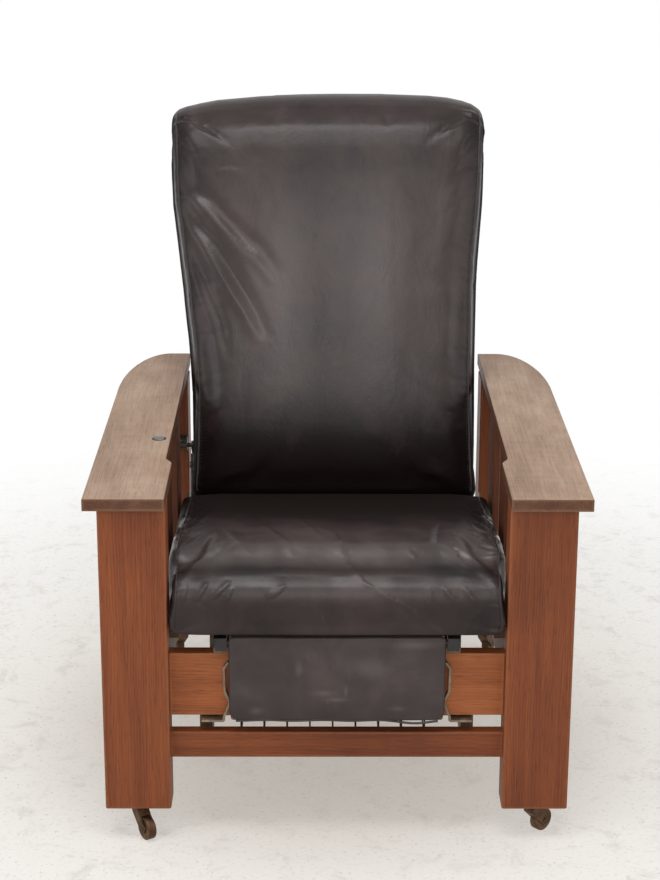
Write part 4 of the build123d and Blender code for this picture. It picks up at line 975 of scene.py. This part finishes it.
def back_cushion():
    """A tall back, flared to the top and rolled over there, with folds that run down from its upper left."""
    rings = []
    for v, left, right, front in back_profile:
        half, centre = (right - left) / 2000, (left + right) / 2000
        rear_half = half - 0.005
        front = front / 1000
        corners = ((-rear_half, BACK_REAR), (rear_half, BACK_REAR), (half, front), (-half, front))
        outline = resampled(rounded_outline(corners, (0.012, 0.012, 0.030, 0.030)), 130)
        fullness = np.clip(1 - (outline[:, 0] / half) ** 2, 0, 1) * (outline[:, 1] > front - 0.03)
        outline[:, 1] += fullness * BACK_FULLNESS
        rings.append(np.array([on_back((centre + x) * 1000, v, w * 1000) for x, w in outline]))
    thing = outward(new_object("back_cushion_leather", *skin(rings)))

    def against_the_panel(points):
        return (points - BACK_ORIGIN) @ BACK_FORWARD < BACK_REAR + 0.004

    thing = puffed(thing, 0.0070, 0.008, held=against_the_panel)
    move_points(thing, fitted_back(points_of(thing)))
    creased(thing, [([on_back(*place) for place in line], width, depth) for line, width, depth in back_folds])
    for side in (-1, 1):
        seam = spaced(back_seam(side), 90)
        puckered(thing, seam, 0.024, 0.026, 0.0006, 5.0 + side)
        creased(thing, [(seam, 0.0036, 0.0026)], 0.3)
    points = points_of(thing)
    up = (points - BACK_ORIGIN) @ BACK_UP
    rows = np.array(back_profile) / 1000
    to_left = points[:, 0] - np.interp(up, rows[:, 0], rows[:, 1])
    to_right = np.interp(up, rows[:, 0], rows[:, 2]) - points[:, 0]
    to_side = np.minimum(to_left, to_right)
    # Painted shade: darker low on the back and along its sides, darkest at the very edges
    wear_and_painted_light = -0.9 * eased(up, 0.24, 0.06) - 0.3 * eased(to_side, 0.05, 0.012)
    wear_and_painted_light -= 0.8 * eased(to_side, 0.010, 0.002)
    # Painted highlights: two broad soft patches on the front
    wear_and_painted_light += 0.52 * spot(points, on_back(-112, 350, 138), (0.060, 0.10, 0.15))
    wear_and_painted_light += 0.40 * spot(points, on_back(76, 400, 138), (0.075, 0.20, 0.20))
    # Painted shade over the upper back
    wear_and_painted_light -= 0.20 * eased(up, 0.52, 0.66)
    set_wear_and_painted_light(thing, wear_and_painted_light)
    return thing


back = back_cushion()
smooth_shaded(back, BACK_LEATHER)
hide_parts("back_cushion")
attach(back, "back")
for name, side in (("left", -1), ("right", 1)):
    sewn_seam(f"back_{name}", back, back_seam(side), (-side, 0, 0), "back")


# Leg rest pad
REST_HALF, REST_LOW, REST_HIGH = 0.1705, 0.2095, 0.353
REST_FRONT = FRONT_Y + 0.0030
REST_REAR = FRONT_Y + 0.0088
# Scuffs on the pad: their middle across and up, and their reach, in millimetres
rest_scuffs = (
    ((-20, 258), 14, 4), ((0, 247), 16, 3), ((14, 262), 2, 9), ((-60, 300), 5, 12), ((54, 300), 34, 16),
    ((122, 340), 30, 6), ((96, 232), 12, 4), ((-128, 228), 10, 6),
)


def leg_rest_pad():
    """A thin pad over the leg rest's board, with rounded lower corners and a slack cover."""
    rings = []
    for depth, inset in ((0, 0.0), (0.3, 0.0), (0.65, 0.0010), (0.9, 0.0030), (1.0, 0.0056)):
        y = REST_REAR + (REST_FRONT - REST_REAR) * depth
        x, low, high = REST_HALF - inset, REST_LOW + inset, REST_HIGH - inset
        corners = ((-x, low), (x, low), (x, high), (-x, high))
        outline = resampled(rounded_outline(corners, (0.016, 0.016, 0.004, 0.004)), 110)
        rings.append(np.array([(x, y, z) for x, z in outline]))
    thing = outward(new_object("leg_rest_leather", *skin(rings)))
    remesh = thing.modifiers.new("even_skin", "REMESH")
    remesh.mode = "VOXEL"
    remesh.voxel_size = 0.0024
    thing = settled(thing)
    points = points_of(thing)
    x, z = points[:, 0], points[:, 2]
    slack = np.sin(x * 46 + 1.2 * np.sin(z * 60)) * np.sin(z * 38 + x * 22) * 0.0006
    points[:, 1] -= slack * (points[:, 1] < REST_REAR - 0.003)
    move_points(thing, points)
    wear_and_painted_light = -0.15 * eased(z, 0.26, 0.215)
    for (middle_x, middle_z), wide, high in rest_scuffs:
        middle = (middle_x / 1000, REST_FRONT, middle_z / 1000)
        wear_and_painted_light = wear_and_painted_light + 0.45 * spot(points, middle, (wide / 1000, 0.02, high / 1000))
    set_wear_and_painted_light(thing, wear_and_painted_light)
    return thing


def slack_lower_edge():
    """The cover's rolled lower edge, which hangs loose toward the right."""
    marks = np.linspace(-0.160, 0.160, 120)
    loose = 0.0046 * np.exp(-(((marks - 0.128) / 0.034) ** 2)) + 0.0007 * np.sin(marks * 70)
    return np.column_stack((marks, np.full(120, REST_FRONT + 0.0026), REST_LOW + 0.0008 - loose))


rest = leg_rest_pad()
smooth_shaded(rest, REST_LEATHER)
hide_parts("leg_rest_pad")
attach(rest, "rest")
welt_cord("leg_rest_lower_edge", slack_lower_edge(), 0.0019, "rest", REST_LEATHER)


# Woven webbing under the seat: four tapes lengthwise and five crosswise, over the seat frame's opening
TAPE_WIDTH = 0.050
TAPE_THICK = 0.0008
TAPE_STEPS = 80
LONG_TAPES, CROSS_TAPES = 4, 5
OPENING_HALF_X = 0.203
OPENING_HALF_V = 0.238
OPENING_MIDDLE_V = 0.305
CROSS_TAPE_HALF = 0.2305
LONG_TAPE_START, LONG_TAPE_LENGTH = 0.0395, 0.531
WEAVE_HEIGHT = 0.0006
WEBBING_DROP, WEBBING_SAG = 0.0008, 0.002


def webbing_place(x, v, weave):
    """A place on the webbing, which sags a little in the middle of its opening."""
    across = max(0.0, 1 - (x / OPENING_HALF_X) ** 2)
    along = max(0.0, 1 - ((v - OPENING_MIDDLE_V) / OPENING_HALF_V) ** 2)
    up = weave * WEAVE_HEIGHT - WEBBING_DROP - WEBBING_SAG * across * along
    return SEAT_ORIGIN + ACROSS * x + SEAT_BACKWARD * v + SEAT_UP * up


def webbing():
    """Strips of jute tape, over and under each other."""
    pitch_x = 2 * OPENING_HALF_X / LONG_TAPES
    pitch_v = 2 * OPENING_HALF_V / CROSS_TAPES
    points, faces = [], []

    def strip(path, side):
        base = len(points)
        for place in path:
            for across, up in ((-0.5, 0.5), (0.5, 0.5), (0.5, -0.5), (-0.5, -0.5)):
                points.append(place + side * across * TAPE_WIDTH + SEAT_UP * up * TAPE_THICK)
        for i in range(len(path) - 1):
            a, b = base + 4 * i, base + 4 * (i + 1)
            for k in range(4):
                following = (k + 1) % 4
                faces.append((a + k, a + following, b + following, b + k))
        faces.append((base, base + 1, base + 2, base + 3))
        last = base + 4 * (len(path) - 1)
        faces.append((last + 3, last + 2, last + 1, last))

    for column in range(LONG_TAPES):
        x = (column - (LONG_TAPES - 1) / 2) * pitch_x
        path = []
        for step in range(TAPE_STEPS + 1):
            v = LONG_TAPE_START + LONG_TAPE_LENGTH * step / TAPE_STEPS
            phase = (v - OPENING_MIDDLE_V) / pitch_v + (CROSS_TAPES - 1) / 2
            path.append(webbing_place(x, v, math.cos(math.pi * (phase + column))))
        strip(path, ACROSS)
    for row in range(CROSS_TAPES):
        v = OPENING_MIDDLE_V + (row - (CROSS_TAPES - 1) / 2) * pitch_v
        path = []
        for step in range(TAPE_STEPS + 1):
            x = CROSS_TAPE_HALF * (2 * step / TAPE_STEPS - 1)
            phase = x / pitch_x + (LONG_TAPES - 1) / 2
            path.append(webbing_place(x, v, -math.cos(math.pi * (phase + row))))
        strip(path, SEAT_BACKWARD)
    return outward(new_object("seat_webbing_strips", points, faces))


tape = webbing()
tape.data.materials.append(JUTE)
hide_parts("seat_webbing")
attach(tape, "frame")


# Screws, nails and tacks
# A dark mark of painted shade that stands for each screw's slot
PAINTED_SLOT_SHADE = old_metal("screw_slot_painted_shade", rgb(18, 15, 13), rgb(34, 28, 24), 0.6, 0.2)


def slotted_screws(name, spots, radius, body):
    """Round-headed screws, each with a dark mark of painted shade, turned its own way, that stands for its
    slot.
    """
    set_out(name, spots, (radius, radius, radius * 0.42), SCREW_STEEL, body)
    slots = []
    for i, (place, facing, along) in enumerate(spots):
        facing, along = np.array(facing, float), np.array(along, float)
        turn = 2.4 * i + 0.7
        turned = along * math.cos(turn) + np.cross(facing, along) * math.sin(turn)
        slots.append((np.array(place) + facing * radius * 0.36, facing, turned))
    set_out(name + "_slots", slots, (radius * 0.8, radius * 0.12, radius * 0.10), PAINTED_SLOT_SHADE, body)


def frame_screws():
    """Screws on both sides of the frame, and two in each bracket of the latch."""
    spots = []
    for side in (-1, 1):
        for behind, drop in ((-0.012, 0.048), (0.012, 0.048), (0, 0.070)):
            place = (side * 0.270, BACK_ORIGIN[1] + behind, BACK_ORIGIN[2] - drop)
            spots.append((place, (-side, 0, 0), (0, 1, 0)))
        spots.append(((side * 0.210, FRONT_Y + 0.300, 0.288), (0, -1, 0), (1, 0, 0)))
        spots.append(((side * 0.207, FRONT_Y + 0.070, 0.2035), (0, 0, 1), (1, 0, 0)))
    for offset in (-0.007, 0.007):
        spots.append(((-0.318, FRONT_Y + 0.350 + offset, 0.565), (0, 0, -1), (1, 0, 0)))
        spots.append(((-0.2955 + offset, FRONT_Y + 0.710, 0.450), (0, -1, 0), (1, 0, 0)))
    return spots


slotted_screws("frame_screws", frame_screws(), 0.0036, "frame")
strap_ends = [(side * 0.17175, FRONT_Y + 0.021, 0.3085) for side in (-1, 1)]
strap_screws = [(place, (0, -1, 0), (1, 0, 0)) for place in strap_ends]
slotted_screws("strap_screws", strap_screws, 0.0017, "frame")


# How far the panel's rear face is behind the back's own plane in millimetres, and the nails' spacing
PANEL_BEHIND = -16.5
NAIL_PITCH = 0.028


def back_panel_nails():
    """Domed nails around the panel behind the back."""
    border = [(-214, 58), (-214, 160), (-233, 686), (233, 686), (214, 160), (214, 58), (-214, 58)]
    path = [on_back(x, v, PANEL_BEHIND) for x, v in border]
    return along_line(path, NAIL_PITCH, [-BACK_FORWARD] * len(path))


set_out("back_panel_nails", back_panel_nails(), (0.0046, 0.0046, 0.0024), NAIL_BRASS, "back")


def webbing_tacks():
    """Three tacks through each end of each tape, from below."""
    spots = []
    for x in (-152.25, -50.75, 50.75, 152.25):
        for v in (47, 563):
            spots += [(on_seat(x + offset, v, -1.7), -SEAT_UP, ACROSS) for offset in (-16, 0, 16)]
    for v in (114.6, 209.8, 305, 400.2, 495.4):
        for x in (-222, 222):
            spots += [(on_seat(x, v + offset, -1.7), -SEAT_UP, ACROSS) for offset in (-16, 0, 16)]
    return spots


set_out("webbing_tacks", webbing_tacks(), (0.0036, 0.0036, 0.0012), SCREW_STEEL, "frame")


# Floor, lights and camera
FLOOR_REACH = 1.9
# The floor's colour by distance from the chair, as a share of its reach: painted shade near the chair, paler
# farther out and white at the edge
FLOOR_SHADE_TO_WHITE = (
    (0.0, rgb(213, 206, 197)), (0.20, rgb(218, 212, 204)), (0.30, rgb(236, 232, 226)),
    (0.44, rgb(243, 241, 237)), (0.72, rgb(251, 250, 247)), (1.0, (1, 1, 1, 1)),
)


def floor_finish():
    """Pale speckled floor, painted darker near the chair as shade, that fades to white far from the chair and
    shows its shadows softly.
    """
    finish = Finish("pale_floor")
    coordinates = finish.place()
    specks = finish.ramp(finish.noise(coordinates, 120.0, 5.0, 0.8), 0.55, 0.68)
    scuffs = finish.ramp(finish.noise(coordinates, 17.0, 8.0, 0.75, 0.5), 0.50, 0.68)
    away = finish.add("ShaderNodeVectorMath", {0: coordinates}, operation="LENGTH").outputs["Value"]
    colour = finish.colours(finish.math("DIVIDE", away, FLOOR_REACH), FLOOR_SHADE_TO_WHITE)
    marked = finish.over(colour, rgb(158, 150, 138), specks, 0.50)
    marked = finish.over(marked, rgb(192, 185, 175), scuffs, 0.34)
    far = finish.ramp(away, 0.9, FLOOR_REACH)
    colour = finish.mix(far, marked, (1, 1, 1, 1))
    path = finish.add("ShaderNodeLightPath").outputs
    seen = finish.math("MAXIMUM", path["Is Camera Ray"], path["Is Glossy Ray"])
    seen = finish.math("MAXIMUM", seen, path["Is Transmission Ray"])
    glow = finish.math("MULTIPLY", seen, finish.ramp(far, 0.0, 1.0, 0.64, 1.0))
    lit = finish.mix(glow, colour, (0, 0, 0, 1))
    looks = {"Base_Color": lit, "Roughness": 0.75, "Specular_IOR_Level": 0.0}
    return finish.finish(Emission_Color=colour, Emission_Strength=glow, **looks)


floor = new_object("floor", [(-9, -9, 0), (9, -9, 0), (9, 1.94, 0), (-9, 1.94, 0)], [(0, 1, 2, 3)])
floor.data.materials.append(floor_finish())


def studio_world():
    """Soft light from all around, and plain white where the background is seen."""
    world = bpy.data.worlds.new("studio")
    scene.world = world
    world.use_nodes = True
    tree = world.node_tree
    tree.nodes.clear()
    path = tree.nodes.new("ShaderNodeLightPath")
    ambient, white = (tree.nodes.new("ShaderNodeBackground") for kind in range(2))
    for background, strength in ((ambient, 0.62), (white, 1.0)):
        background.inputs["Color"].default_value = (1, 1, 1, 1)
        background.inputs["Strength"].default_value = strength
    seen, clear = (tree.nodes.new("ShaderNodeMath") for step in range(2))
    seen.operation = clear.operation = "MAXIMUM"
    mix = tree.nodes.new("ShaderNodeMixShader")
    output = tree.nodes.new("ShaderNodeOutputWorld")
    tree.links.new(path.outputs["Is Camera Ray"], seen.inputs[0])
    tree.links.new(path.outputs["Is Transmission Ray"], seen.inputs[1])
    tree.links.new(seen.outputs[0], clear.inputs[0])
    tree.links.new(path.outputs["Is Glossy Ray"], clear.inputs[1])
    tree.links.new(clear.outputs[0], mix.inputs["Fac"])
    tree.links.new(ambient.outputs[0], mix.inputs[1])
    tree.links.new(white.outputs[0], mix.inputs[2])
    tree.links.new(mix.outputs[0], output.inputs["Surface"])


def soft_lamp(name, place, target, size, power):
    light = bpy.data.lights.new(name, "AREA")
    light.shape = "RECTANGLE"
    light.size, light.size_y = size
    light.energy = power
    lamp = bpy.data.objects.new(name, light)
    lamp.location = place
    lamp.rotation_euler = (Vector(target) - Vector(place)).to_track_quat("-Z", "Y").to_euler()
    scene.collection.objects.link(lamp)


studio_world()
soft_lamp("overhead_softbox", (-0.2, -1.25, 3.4), (0, -0.2, 0.4), (1.9, 1.0), 50)
soft_lamp("left_softbox", (-3.2, -2.0, 1.9), (0, 0, 0.6), (1.6, 2.2), 24)
soft_lamp("right_softbox", (3.2, -1.6, 1.8), (0, 0, 0.6), (1.6, 2.2), 16)
soft_lamp("front_strip", (0.05, -3.5, 2.45), (0, 0.2, 0.75), (0.60, 1.0), 15)


def photo_camera():
    """The camera where the photograph was taken, from the solved view."""
    pitch, yaw, roll = (math.radians(a) for a in (17.5, 0.37995, 0.19897))
    forward = Vector((math.sin(yaw) * math.cos(pitch), math.cos(yaw) * math.cos(pitch), -math.sin(pitch)))
    right = Vector((math.cos(yaw), -math.sin(yaw), 0))
    up = right.cross(forward)
    turned_right = right * math.cos(roll) + up * math.sin(roll)
    turned_up = up * math.cos(roll) - right * math.sin(roll)
    data = bpy.data.cameras.new("photo_camera")
    data.sensor_width = 36
    data.lens = 83.755
    camera = bpy.data.objects.new("photo_camera", data)
    place = Vector((-0.032085, -2.952335 + FRONT_Y, 1.608348))
    turned = Matrix((turned_right, turned_up, -forward)).transposed().to_4x4()
    camera.matrix_world = Matrix.Translation(place) @ turned
    scene.collection.objects.link(camera)
    scene.camera = camera


photo_camera()
scene.view_settings.view_transform = "Standard"
